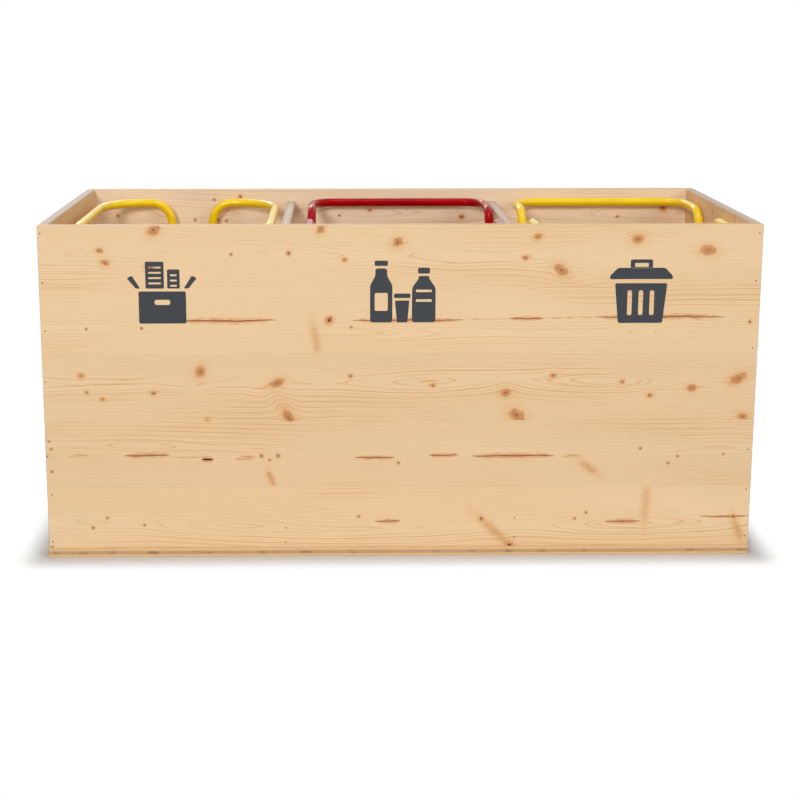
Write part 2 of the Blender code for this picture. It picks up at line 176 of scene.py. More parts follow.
class NodeSheet:
    """A node tree, with short calls for the nodes that a finish is drawn from."""

    def __init__(self, tree: bpy.types.NodeTree) -> None:
        """Keep the tree to draw in."""
        self.tree = tree

    def node(self, kind: str, **settings: object) -> bpy.types.Node:
        """Add a node.

        Args:
            kind: The node's type name.
            **settings: Values for the node's own properties.

        Returns:
            The new node.
        """
        made = self.tree.nodes.new(kind)
        for key, value in settings.items():
            setattr(made, key, value)
        return made

    def feed(self, socket: bpy.types.NodeSocket, value: object) -> None:
        """Link a wire to an input, or set the input's own value.

        Args:
            socket: The input.
            value: A wire, a number or a colour.
        """
        if isinstance(value, Wire):
            self.tree.links.new(value.socket, socket)
        elif isinstance(value, tuple) and socket.type == "RGBA":
            socket.default_value = (*value, 1.0)
        else:
            socket.default_value = value

    def wire(self, kind: str, inputs: dict, output: Union[int, str] = 0, **settings: object) -> Wire:
        """Add a node, feed it and take one of its outputs.

        Args:
            kind: The node's type name.
            inputs: What each input gets, by its name or place.
            output: The output's name or place.
            **settings: Values for the node's own properties.

        Returns:
            The output.
        """
        made = self.node(kind, **settings)
        for key, value in inputs.items():
            self.feed(made.inputs[key], value)
        return Wire(self, made.outputs[output])

    def maths(self, operation: str, first: Value, second: Value = 0.0, clamp: bool = False) -> Wire:
        """Combine two numbers by a Math node's operation; some operations read only the first."""
        return self.wire("ShaderNodeMath", {0: first, 1: second}, operation=operation, use_clamp=clamp)

    def length(self, first: Wire, second: Wire) -> Wire:
        """The length of a step that has two parts at right angles."""
        return self.maths("SQRT", first * first + second * second)

    def fade(self, value: Value, start: Value, end: Value) -> Wire:
        """Rise smoothly from 0 at the start to 1 at the end, which may lie below the start."""
        inputs = dict(enumerate((value, start, end, 0.0, 1.0)))
        return self.wire("ShaderNodeMapRange", inputs, interpolation_type="SMOOTHSTEP")

    def split(self, vector: Wire) -> list[Wire]:
        """The three parts of a vector."""
        first = self.wire("ShaderNodeSeparateXYZ", {0: vector})
        return [Wire(self, part) for part in first.socket.node.outputs]

    def join(self, x: Value, y: Value, z: Value) -> Wire:
        """A vector from three numbers."""
        return self.wire("ShaderNodeCombineXYZ", {0: x, 1: y, 2: z})

    def place(self) -> Wire:
        """The Object coordinates."""
        return self.wire("ShaderNodeTexCoord", {}, "Object")

    def noise(self, vector: Wire, scale: float, detail: float = 2.0, rough: float = 0.5) -> Wire:
        """A noise pattern around 0.5, by its fineness, its layers and the strength of the fine ones."""
        inputs = {"Vector": vector, "Scale": scale, "Detail": detail, "Roughness": rough}
        return self.wire("ShaderNodeTexNoise", inputs, "Fac")

    def drawn_out(self, along: Wire, across: Wire, fine: tuple[float, float], depth: float,
                  detail: float = 2.0, rough: float = 0.5) -> Wire:
        """A noise pattern that is differently fine along and across the grain."""
        return self.noise(self.join(along * fine[0], across * fine[1], depth), 1.0, detail, rough)

    def scatter(self, value: Value) -> Wire:
        """A random number from 0 to 1 that stays the same for the same value."""
        return self.wire("ShaderNodeTexWhiteNoise", {"W": value}, "Value", noise_dimensions="1D")

    def mix(self, factor: Value, first: object, second: object, blend: str = "MIX") -> Wire:
        """Mix as much of the second colour as the factor says into the first."""
        return self.wire("ShaderNodeMix", {0: factor, 6: first, 7: second}, 2, data_type="RGBA",
                         blend_type=blend)

    def bump(self, height: Wire, strength: float, distance: float) -> Wire:
        """A surface normal from a height, whose 1 stands for a distance in metres."""
        inputs = {"Strength": strength, "Distance": distance, "Height": height}
        return self.wire("ShaderNodeBump", inputs, "Normal")

    def seen(self) -> Wire:
        """Tell what is seen from what is only lit.

        Returns:
            1 for rays from the camera, from gloss and through glass, and 0 for the others.
        """
        camera, gloss, glass = (self.wire("ShaderNodeLightPath", {}, f"Is {ray} Ray")
                                for ray in ("Camera", "Glossy", "Transmission"))
        return self.maths("MAXIMUM", camera, self.maths("MAXIMUM", gloss, glass))


class FinishSheet(NodeSheet):
    """The node tree of one material, with its Principled shader."""

    def __init__(self, name: str) -> None:
        """Make the material.

        Args:
            name: The material's name.
        """
        self.material = bpy.data.materials.new(name)
        self.material.use_nodes = True
        super().__init__(self.material.node_tree)
        self.shader = self.tree.nodes["Principled BSDF"]

    def set(self, **entries: object) -> bpy.types.Material:
        """Feed the shader's inputs.

        Args:
            **entries: What each input gets, named with underscores for spaces.

        Returns:
            The material.
        """
        for key, value in entries.items():
            self.feed(self.shader.inputs[key.replace("_", " ")], value)
        return self.material


class MarkSheet(NodeSheet):
    """The node tree of a group that draws one mark on a board over the marks before it."""

    def __init__(self, name: str, place: str, state: str, mark: str) -> None:
        """Make the group.

        Args:
            name: The group's name.
            place: The words for where the board is looked at.
            state: The words for what the marks before it gave, which are its outputs too.
            mark: The words for the mark's own numbers.
        """
        super().__init__(bpy.data.node_groups.new(name, "ShaderNodeTree"))
        words = f"{place} {state} {mark}".split()
        for way, names in (("INPUT", words), ("OUTPUT", state.split())):
            for word in names:
                self.tree.interface.new_socket(name=word, in_out=way, socket_type="NodeSocketFloat")
        source = self.node("NodeGroupInput")
        self.given = SimpleNamespace(**{word: Wire(self, source.outputs[word]) for word in words})
        self.out = self.node("NodeGroupOutput")

    def give(self, **results: Wire) -> bpy.types.NodeTree:
        """Feed the group's outputs.

        Args:
            **results: What each output gets.

        Returns:
            The group.
        """
        for word, result in results.items():
            self.feed(self.out.inputs[word], result)
        return self.tree


@dataclass(frozen=True)
class Knot:
    """A knot in a board: its place along and across the grain, its size, stretch, tilt and strength.

    Its place and size are in pixels while they are as read, and in metres on the board.
    """

    along: float
    across: float
    radius: float
    stretch: float = 1.3
    tilt: float = 0.0
    shade: float = 1.0


@dataclass(frozen=True)
class Pin:
    """A pin knot: a dark dot, with its place along and across the grain and its size."""

    along: float
    across: float
    radius: float


@dataclass(frozen=True)
class Streak:
    """A resin streak along the grain: its two ends, its place across the grain, its width and darkness."""

    start: float
    end: float
    across: float
    width: float
    dark: float = 1.0


@dataclass(frozen=True)
class Figure:
    """Everything that marks a board's face."""

    knots: tuple[Knot, ...] = ()
    pins: tuple[Pin, ...] = ()
    streaks: tuple[Streak, ...] = ()


@dataclass(frozen=True)
class PhotoRuler:
    """Turns pixels that were read on one upright face in the photograph into metres on that face."""

    middle_column: float
    top_row: float
    pixels_per_metre: float
    top: float = 1.002

    def spot(self, column: float, row: float) -> tuple[float, float]:
        """The place across the station, and the height."""
        return ((column - self.middle_column) / self.pixels_per_metre,
                self.top - (row - self.top_row) / self.pixels_per_metre)

    def figure(self, read: Figure, unseen: Figure = Figure()) -> Figure:
        """Turn a board's marks into metres.

        Args:
            read: The marks as read, in pixels.
            unseen: More marks, in metres, where the photograph does not show the board.

        Returns:
            All the marks in metres.
        """
        scale = self.pixels_per_metre
        placed = []
        for mark in (*read.knots, *read.pins):
            along, across = self.spot(mark.along, mark.across)
            placed.append(replace(mark, along=along, across=across, radius=mark.radius / scale))
        streaks = []
        for mark in read.streaks:
            start, across = self.spot(mark.start, mark.across)
            end = self.spot(mark.end, mark.across)[0]
            streaks.append(replace(mark, start=start, end=end, across=across, width=mark.width / scale))
        knots, pins = placed[:len(read.knots)], placed[len(read.knots):]
        return Figure((*knots, *unseen.knots), (*pins, *unseen.pins), (*streaks, *unseen.streaks))


FRONT_FACE = PhotoRuler(middle_column=399.3, top_row=223.3, pixels_per_metre=339.2)
REAR_WALL = PhotoRuler(middle_column=394.0, top_row=183.6, pixels_per_metre=285.5)


class MarkGroups:
    """The node groups that draw one knot, one pin knot and one streak, shared by every board."""

    row_apart: float = 40.0
    push_fall: float = -0.17
    push_share: float = 0.85
    knot_edge: Span = (1.30, 0.62)
    pin_edge: Span = (1.25, 0.70)
    pin_halo: Span = (4.4, 1.0)
    streak_taper: float = 0.6
    streak_least: float = 0.00001
    streak_core: float = 0.15
    glow_reach: float = 3.2

    def __init__(self) -> None:
        """Draw the groups."""
        self.knot = self._knot()
        self.pin = self._pin()
        self.streak = self._streak()

    def _knot(self) -> bpy.types.NodeTree:
        """One knot: the nearest-knot field, how far the grain is pushed aside, and the knot's body.

        A knot ends at its lamella's seam, so another row counts as far away.

        Returns:
            The group.
        """
        sheet = MarkSheet("board_knot", "along across row rough", "field push body",
                          "centre_along centre_across own_row radius stretch cosine sine shade")
        given = sheet.given
        off_along, off_across = given.along - given.centre_along, given.across - given.centre_across
        turned = off_along * given.cosine + off_across * given.sine
        beside = off_across * given.cosine - off_along * given.sine
        rows_off = abs(given.row - given.own_row)
        reach = sheet.length(turned / given.stretch, beside) / given.radius + rows_off * self.row_apart
        weight = sheet.maths("POWER", math.e, reach * reach * self.push_fall)
        pushed = off_across * weight * (given.shade * given.shade * self.push_share)
        body = sheet.fade(reach + given.rough, *self.knot_edge) * given.shade
        return sheet.give(field=sheet.maths("MINIMUM", given.field, reach), push=given.push + pushed,
                          body=sheet.maths("MAXIMUM", given.body, body))

    def _pin(self) -> bpy.types.NodeTree:
        """One pin knot: a small dot, and the warm wood round it.

        Returns:
            The group.
        """
        sheet = MarkSheet("board_pin", "along across", "mask halo", "centre_along centre_across radius")
        given = sheet.given
        off_along, off_across = given.along - given.centre_along, given.across - given.centre_across
        reach = sheet.length(off_along, off_across) / given.radius
        return sheet.give(mask=sheet.maths("MAXIMUM", given.mask, sheet.fade(reach, *self.pin_edge)),
                          halo=sheet.maths("MAXIMUM", given.halo, sheet.fade(reach, *self.pin_halo)))

    def _streak(self) -> bpy.types.NodeTree:
        """One streak: a dark line that tapers to both ends, and the warm wood round it.

        Returns:
            The group.
        """
        sheet = MarkSheet("board_streak", "along across", "mask glow", "middle half centre width dark")
        given = sheet.given
        share = (given.along - given.middle) / given.half
        taper = sheet.maths("SUBTRACT", 1.0, share * share, clamp=True)
        off = abs(given.across - given.centre)
        wide = given.width * sheet.maths("POWER", taper, self.streak_taper) + self.streak_least
        line = sheet.fade(off, wide, wide * self.streak_core) * sheet.fade(taper, 0.0, 0.22)
        warm = sheet.fade(off, wide * self.glow_reach, wide) * sheet.fade(taper, 0.0, 0.5)
        return sheet.give(mask=sheet.maths("MAXIMUM", given.mask, line * given.dark),
                          glow=sheet.maths("MAXIMUM", given.glow, warm))


@dataclass(frozen=True)
class SpruceFinish:
    """Three-layer spruce: lamellas with rings, knots and streaks on the faces, and layers on the edges."""

    name: str
    normal: Axis
    grain: Axis
    seed: int
    figure: Figure
    lamella: float = 0.2023
    first_seam: float = 0.0137
    pale: Colour = tint(247, 216, 174)
    late: Colour = tint(226, 174, 114)
    flame: Colour = tint(221, 162, 98)
    edge: Colour = tint(224, 190, 147)
    end_grain: Colour = tint(198, 158, 118)
    speck: Colour = tint(172, 130, 92)
    smear: Colour = tint(216, 146, 82)
    resin: Colour = tint(158, 82, 44)
    scorch: Colour = tint(66, 34, 20)
    pin_halo: Colour = tint(214, 146, 86)
    pin: Colour = tint(104, 46, 20)
    knot_halo: Colour = tint(226, 166, 102)
    knot_tan: Colour = tint(226, 164, 100)
    knot_deep: Colour = tint(184, 112, 64)
    knot_rim: Colour = tint(156, 88, 46)
    knot_heart: Colour = tint(124, 68, 38)
    glue_line: Colour = tint(150, 108, 72)
    dirt: Colour = tint(112, 100, 86)
    glue: float = 0.40
    scuff: float = 0.0
    ring: float = 0.0060
    ring_lines: tuple[Span, ...] = ((1.0, 0.0034), (0.43, 0.0046))
    ring_edge: float = 0.0004
    pith_swell: float = 0.085
    pith_offset: float = 0.012
    grain_wander: float = 0.11
    grain_shift: float = 0.05
    streak_sway: float = 0.012
    seam_shade: Span = (0.0012, 0.0002)
    glue_shade: Span = (0.0008, 0.0002)
    rim: float = 0.0014
    blur: float = 0.0003
    relief: float = 0.0005
    index: float = 1.46
    gloss: float = 0.35
    far: float = 50.0

    def material(self, groups: MarkGroups, low: Vector, high: Vector) -> bpy.types.Material:
        """Draw the finish for one board.

        Args:
            groups: The shared knot, pin and streak groups.
            low: The board's lowest corner.
            high: The board's highest corner.

        Returns:
            The material.
        """
        sheet = FinishSheet(self.name)
        grain, normal = self.grain.value, self.normal.value
        axes = (grain, 3 - normal - grain, normal)
        parts = sheet.split(sheet.place())
        along, across, through = (parts[axis] for axis in axes)
        count = (across - self.first_seam) / self.lamella
        row = sheet.maths("FLOOR", count)
        rough = sheet.drawn_out(along, across, (110.0, 110.0), 4.0, 3.0)
        jagged = (rough - 0.5) * 0.80
        field, push, body = self._chain(sheet, groups.knot, (along, across, row, jagged),
                                        (self.far, 0.0, 0.0), map(self._numbers, self.figure.knots))
        pin, halo = self._chain(sheet, groups.pin, (along, across), (0.0, 0.0), (
            (pin.along, pin.across, pin.radius) for pin in self.figure.pins))
        wave = sheet.noise(sheet.join(along * 7.0, 2.0, float(self.seed)), 1.0, 3.0)
        bent = across + (wave - 0.5) * self.streak_sway
        streak, glow = self._chain(sheet, groups.streak, (along, bent), (0.0, 0.0), (
            ((streak.start + streak.end) / 2, (streak.end - streak.start) / 2, streak.across, streak.width,
             streak.dark) for streak in self.figure.streaks))
        face, late, fibre = self._rings(sheet, along, across, row, (count - row - 0.5) * self.lamella, push)
        face = self._knots(sheet, face, field + jagged, body, rough, along, across)
        cloudy = sheet.fade(sheet.drawn_out(along, across, (34.0, 210.0), 7.0, 3.0), 0.30, 0.66)
        for share, colour in ((glow * cloudy * 0.85, self.smear), (streak * 0.92, self.resin),
                              (sheet.fade(streak, 1.0, 1.5), self.scorch), (halo * 0.72, self.pin_halo),
                              (pin * 0.95, self.pin)):
            face = sheet.mix(share, face, colour)
        places = (along, across, through)
        offs = [abs(place - (low[axis] + high[axis]) / 2) for place, axis in zip(places, axes)]
        halves = [(high[axis] - low[axis]) / 2 for axis in axes]
        height = late * 0.5 + fibre * 0.6 - streak * 1.4
        return sheet.set(Base_Color=self._edges(sheet, face, offs, halves, along),
                         Normal=sheet.bump(height, 0.18, self.relief), IOR=self.index,
                         Specular_IOR_Level=self.gloss, Roughness=0.48 + fibre * 0.16 + late * 0.06)

    def _numbers(self, knot: Knot) -> tuple[float, ...]:
        """What the knot group takes for one knot.

        Args:
            knot: The knot.

        Returns:
            Its place, its lamella's row, its sizes, its turn and its strength.
        """
        row = math.floor((knot.across - self.first_seam) / self.lamella)
        turn = math.radians(knot.tilt)
        return (knot.along, knot.across, float(row), knot.radius, knot.stretch, math.cos(turn),
                math.sin(turn), knot.shade)

    @staticmethod
    def _chain(sheet: FinishSheet, group: bpy.types.NodeTree, place: Sequence[Wire], start: Sequence[float],
               marks: Iterable[Sequence[float]]) -> list[Value]:
        """Chain a group once for each mark on the board.

        Args:
            sheet: The sheet to draw in.
            group: The group that draws one mark.
            place: Where the board is looked at.
            start: The group's outputs before the first mark.
            marks: The numbers of each mark.

        Returns:
            The group's outputs after the last mark.
        """
        state: list[Value] = list(start)
        for mark in marks:
            first = sheet.wire("ShaderNodeGroup", dict(enumerate((*place, *state, *mark))), node_tree=group)
            state = [Wire(sheet, output) for output in first.socket.node.outputs]
        return state

    def _rings(self, sheet: FinishSheet, along: Wire, across: Wire, row: Wire, local: Wire,
               push: Value) -> tuple[Wire, Wire, Wire]:
        """Paint the growth rings, read as a cut through a log for each lamella.

        Args:
            sheet: The sheet to draw in.
            along: The place along the grain.
            across: The place across the grain.
            row: Which lamella the place is on.
            local: How far it is from the lamella's middle.
            push: The push that the knots give.

        Returns:
            The face's colour, the late wood and the fibres.
        """
        chance = sheet.scatter(row + self.seed * 7.31 + 0.5)
        drift = chance * 9.0
        slow = sheet.noise(sheet.join(along * 0.75 + drift, across * 2.2, float(self.seed)), 1.0, 2.0)
        swell = sheet.noise(sheet.join(along * 1.3 + drift, row, self.seed + 3.7), 1.0, 1.5)
        depth = swell * self.pith_swell - self.pith_offset
        grain = local + (slow - 0.5) * self.grain_wander - push + (chance - 0.5) * self.grain_shift
        radius = sheet.length(grain, depth)
        jitter = sheet.drawn_out(along, across, (4.0, 70.0), self.seed + 1.3)
        phase = radius / self.ring + jitter * 0.8
        patch = sheet.drawn_out(along, across, (1.1, 7.0), self.seed + 5.9)
        slope = sheet.maths("MAXIMUM", abs(grain) / radius, 0.30)
        lines = []
        for pace, width in self.ring_lines:
            ahead = 1.0 - sheet.maths("FRACT", phase * pace)
            lines.append(sheet.fade(ahead * (self.ring / pace) / slope, width, self.ring_edge))
        late = lines[0] * (sheet.fade(patch, 0.36, 0.70) * 0.70 + 0.30)
        fibre = sheet.drawn_out(along, across, (12.0, 620.0), self.seed + 8.1, 3.0)
        face = sheet.mix(late * 0.54 + fibre * 0.32, self.pale, self.late)
        face = sheet.mix(lines[1] * sheet.fade(patch, 0.48, 0.66) * 0.60, face, self.flame)
        broad = sheet.drawn_out(along, across, (1.6, 9.0), self.seed + 2.2, 3.0)
        seam = sheet.fade(abs(local), *(self.lamella / 2 - reach for reach in self.seam_shade))
        level = 0.965 + chance * 0.035 + (broad - 0.5) * 0.09 - seam * 0.08
        warm = level - (1.0 - chance) * 0.006
        cool = warm - (0.62 - broad) * 0.09
        return sheet.mix(1.0, face, sheet.join(level, warm, cool), "MULTIPLY"), late, fibre

    def _knots(self, sheet: FinishSheet, face: Wire, edge: Wire, body: Value, rough: Wire, along: Wire,
               across: Wire) -> Wire:
        """Paint the knots: a pale warm halo, a soft tan body, part of a rim and a small heart.

        Args:
            sheet: The sheet to draw in.
            face: The face's colour so far.
            edge: The distance to the nearest knot in knot radii, roughened.
            body: Where the knots' bodies are.
            rough: The pattern that roughens them.
            along: The place along the grain.
            across: The place across the grain.

        Returns:
            The face's colour.
        """
        uneven = sheet.drawn_out(along, across, (45.0, 45.0), 9.0, 1.0)
        face = sheet.mix(sheet.fade(edge, 2.8, 1.0) * 0.30, face, self.knot_halo)
        rings = (sheet.maths("SINE", edge * 17.0) + 1.0) * 0.15
        inner = sheet.fade(edge, 1.15, 0.20) * 0.55 + rough * 0.30 + rings - 0.15
        face = sheet.mix(body * 0.90, face, sheet.mix(inner * body, self.knot_tan, self.knot_deep))
        rim = sheet.fade(edge, 0.58, 0.88) * sheet.fade(edge, 1.20, 0.95) * sheet.fade(uneven, 0.46, 0.62)
        face = sheet.mix(rim * body * 0.62, face, self.knot_rim)
        crack = sheet.fade(sheet.drawn_out(along, across, (330.0, 330.0), 2.0), 0.56, 0.68)
        heart = sheet.maths("MAXIMUM", sheet.fade(edge, 0.30, 0.05), crack * sheet.fade(edge, 0.70, 0.25))
        return sheet.mix(heart * (body * body) * 0.70, face, self.knot_heart)

    def _edges(self, sheet: FinishSheet, face: Wire, offs: Sequence[Wire], halves: Sequence[float],
               along: Wire) -> Wire:
        """Paint the three layers on the board's edges.

        Args:
            sheet: The sheet to draw in.
            face: The face's colour.
            offs: Distances from the board's middle along the grain, across it and through the board.
            halves: The board's half sizes in the same order.
            along: The place along the grain.

        Returns:
            The board's colour.
        """
        on_end, on_long = (sheet.fade(off, half - self.rim, half - self.rim + self.blur)
                           for off, half in zip(offs[:2], halves))
        layer = halves[2] / 3
        outer = sheet.fade(offs[2], layer - self.blur, layer + self.blur)
        core = 1.0 - outer
        cut = sheet.maths("MAXIMUM", on_long * core, on_end * outer)
        edge = sheet.maths("MAXIMUM", on_long, on_end)
        glue = sheet.fade(abs(offs[2] - layer), *self.glue_shade)
        pores = sheet.noise(sheet.place(), 900.0, 2.0)
        speckled = sheet.mix(sheet.fade(pores, 0.42, 0.70), self.end_grain, self.speck)
        patches = sheet.drawn_out(along, offs[2], (13.0, 60.0), 6.0, 3.0, 0.6)
        rubbed = sheet.fade(patches, 0.52, 0.66) * (on_long * core)
        for share, colour in ((edge * 0.80, self.edge), (cut * 0.92, speckled),
                              (glue * edge * self.glue, self.glue_line), (rubbed * self.scuff, self.dirt)):
            face = sheet.mix(share, face, colour)
        return face


@dataclass(frozen=True)
class MarkGrower:
    """Scatters marks over boards that the photograph shows little of, by ranges in metres and degrees."""

    knot_radius: Span = (0.0045, 0.0135)
    knot_stretch: Span = (1.1, 1.8)
    knot_tilt: Span = (-50.0, 50.0)
    knot_shade: Span = (0.6, 1.0)
    pin_radius: Span = (0.0014, 0.0027)
    streak_length: Span = (0.05, 0.26)
    streak_width: Span = (0.0022, 0.0036)
    knots_to_a_streak: int = 4

    def figure(self, seed: int, low: Vector, high: Vector, normal: Axis, grain: Axis, knots: int,
               pins: int) -> Figure:
        """Scatter one board's marks.

        Args:
            seed: What sets this board apart.
            low: The board's lowest corner.
            high: The board's highest corner.
            normal: The board's thin direction.
            grain: Its grain direction.
            knots: How many knots.
            pins: How many pin knots.

        Returns:
            The figure.
        """
        chance = random.Random(seed)
        third = 3 - normal.value - grain.value

        def spot() -> tuple[float, float]:
            """A place along and across the grain."""
            return tuple(chance.uniform(low[axis], high[axis]) for axis in (grain.value, third))

        spans = (self.knot_radius, self.knot_stretch, self.knot_tilt, self.knot_shade)
        grown = tuple(Knot(*spot(), *(chance.uniform(*span) for span in spans)) for _ in range(knots))
        dots = tuple(Pin(*spot(), chance.uniform(*self.pin_radius)) for _ in range(pins))
        streaks = []
        for start, across in (spot() for _ in range(knots // self.knots_to_a_streak)):
            end = start + chance.uniform(*self.streak_length)
            streaks.append(Streak(start, end, across, chance.uniform(*self.streak_width)))
        return Figure(grown, dots, tuple(streaks))


@dataclass(frozen=True)
class PaintFinish:
    """Gloss powder coat on tube, with orange peel, faint clouding, fine rubs and a few small chips."""

    name: str
    colour: Colour
    deep: Colour
    worn: Colour
    glint: Colour
    index: float = 1.38
    bare: Colour = tint(98, 74, 50)
    relief: float = 0.0004

    def material(self) -> bpy.types.Material:
        """Draw the finish.

        Returns:
            The material.
        """
        sheet = FinishSheet(self.name)
        spot = sheet.place()
        cloud = sheet.noise(spot, 11.0, 3.0)
        rub = sheet.fade(sheet.noise(spot, 240.0, 3.0, 0.6), 0.62, 0.70)
        worn = rub * sheet.fade(sheet.noise(spot, 8.0, 2.0), 0.55, 0.66)
        centre = sheet.wire("ShaderNodeTexVoronoi", {"Vector": spot, "Scale": 95.0}, "Distance")
        chance = sheet.split(Wire(sheet, centre.socket.node.outputs["Color"]))[0]
        chip = sheet.fade(centre, 0.13, 0.08) * sheet.maths("GREATER_THAN", chance, 0.90)
        colour = sheet.mix(sheet.fade(cloud, 0.38, 0.66), self.colour, self.deep)
        colour = sheet.mix(worn * 0.30, colour, self.worn)
        colour = sheet.mix(chip * 0.75, colour, self.bare)
        height = sheet.noise(spot, 420.0, 1.0) - worn * 0.4 - chip * 2.0
        return sheet.set(Base_Color=colour, Roughness=0.12 + worn * 0.22 + cloud * 0.05 + chip * 0.3,
                         Normal=sheet.bump(height, 0.04, self.relief), IOR=self.index,
                         Specular_Tint=self.glint)


@dataclass(frozen=True)
class MetalFinish:
    """Zinc-plated steel, with cloudy plating and fine drawing lines."""

    name: str
    bright: Colour = tint(206, 209, 212)
    dull: Colour = tint(158, 162, 167)
    relief: float = 0.0002

    def material(self) -> bpy.types.Material:
        """Draw the finish.

        Returns:
            The material.
        """
        sheet = FinishSheet(self.name)
        spot = sheet.place()
        x, y, z = sheet.split(spot)
        cloud = sheet.noise(spot, 60.0, 4.0, 0.6)
        drawn = sheet.noise(sheet.join(x * 900.0, y * 900.0, z * 40.0), 1.0, 2.0)
        colour = sheet.mix(sheet.fade(cloud, 0.35, 0.70), self.bright, self.dull)
        return sheet.set(Base_Color=colour, Roughness=0.26 + cloud * 0.16 + drawn * 0.10, Metallic=1.0,
                         Normal=sheet.bump(drawn, 0.08, self.relief))


@dataclass(frozen=True)
class MouldedFinish:
    """Rubber or plastic with a fine moulded grain and a little dust."""

    name: str
    colour: Colour
    dust: Colour
    rough: float
    grain: float = 1300.0
    relief: float = 0.0002

    def material(self) -> bpy.types.Material:
        """Draw the finish.

        Returns:
            The material.
        """
        sheet = FinishSheet(self.name)
        spot = sheet.place()
        cloud = sheet.noise(spot, 38.0, 4.0, 0.6)
        pores = sheet.noise(spot, self.grain, 2.0)
        colour = sheet.mix(sheet.fade(cloud, 0.48, 0.78) * 0.5, self.colour, self.dust)
        return sheet.set(Base_Color=colour, Roughness=self.rough + cloud * 0.12 + pores * 0.08,
                         Normal=sheet.bump(pores, 0.12, self.relief))


@dataclass(frozen=True)
class PlywoodFinish:
    """Birch plywood: a pale flamed face, and plies of turning grain on the edge."""

    name: str
    top: float
    thickness: float
    plies: int = 13
    relief: float = 0.0004
    pale: Colour = tint(226, 200, 160)
    flamed: Colour = tint(204, 172, 128)
    pore: Colour = tint(176, 140, 98)
    long_ply: Colour = tint(208, 176, 132)
    cross_ply: Colour = tint(142, 106, 70)

    def material(self) -> bpy.types.Material:
        """Draw the finish.

        Returns:
            The material.
        """
        sheet = FinishSheet(self.name)
        x, y, z = sheet.split(sheet.place())
        flame = sheet.drawn_out(x, y, (5.0, 34.0), 1.7, 4.0, 0.6)
        fibre = sheet.drawn_out(x, y, (30.0, 800.0), 3.1)
        face = sheet.mix(sheet.fade(flame, 0.36, 0.68), self.pale, self.flamed)
        face = sheet.mix(fibre * 0.22, face, self.pore)
        down = (self.top - z) / (self.thickness / self.plies)
        odd = sheet.maths("MODULO", sheet.maths("FLOOR", down), 2.0)
        ply = sheet.mix(odd, self.long_ply, self.cross_ply)
        inside = sheet.fade(down, 0.25, 0.45) * sheet.fade(down, self.plies - 0.25, self.plies - 0.45)
        return sheet.set(Base_Color=sheet.mix(inside, face, ply), Roughness=0.50 + fibre * 0.14 + odd * 0.06,
                         Normal=sheet.bump(fibre, 0.15, self.relief))


class Finishes:
    """Every shared finish of the station."""

    def __init__(self) -> None:
        """Draw the finishes that do not depend on a board."""
        self.groups = MarkGroups()
        yellow = PaintFinish("yellow_powder_coat", tint(252, 212, 14), tint(246, 204, 10),
                             tint(248, 230, 150), (1.0, 0.94, 0.70), 1.52)
        red = PaintFinish("red_powder_coat", tint(168, 3, 12), tint(152, 1, 8), tint(200, 84, 92),
                          (1.0, 0.14, 0.14))
        self.paint = {Slot.YELLOW: yellow.material(), Slot.RED: red.material()}
        self.zinc = MetalFinish("zinc_plate").material()
        self.nail = MetalFinish("nail_steel", tint(104, 92, 80), tint(66, 56, 48)).material()
        self.rubber = MouldedFinish("grey_tyre", tint(74, 76, 79), tint(112, 110, 106), 0.58).material()
        self.hub = MouldedFinish("wheel_hub", tint(150, 153, 156), tint(126, 126, 124), 0.38).material()
        plastic = MouldedFinish("catch_plastic", tint(222, 222, 218), tint(196, 194, 188), 0.36)
        self.plastic = plastic.material()
        self.slate = MouldedFinish("slate_print", tint(46, 50, 56), tint(54, 58, 64), 0.54, 700.0).material()


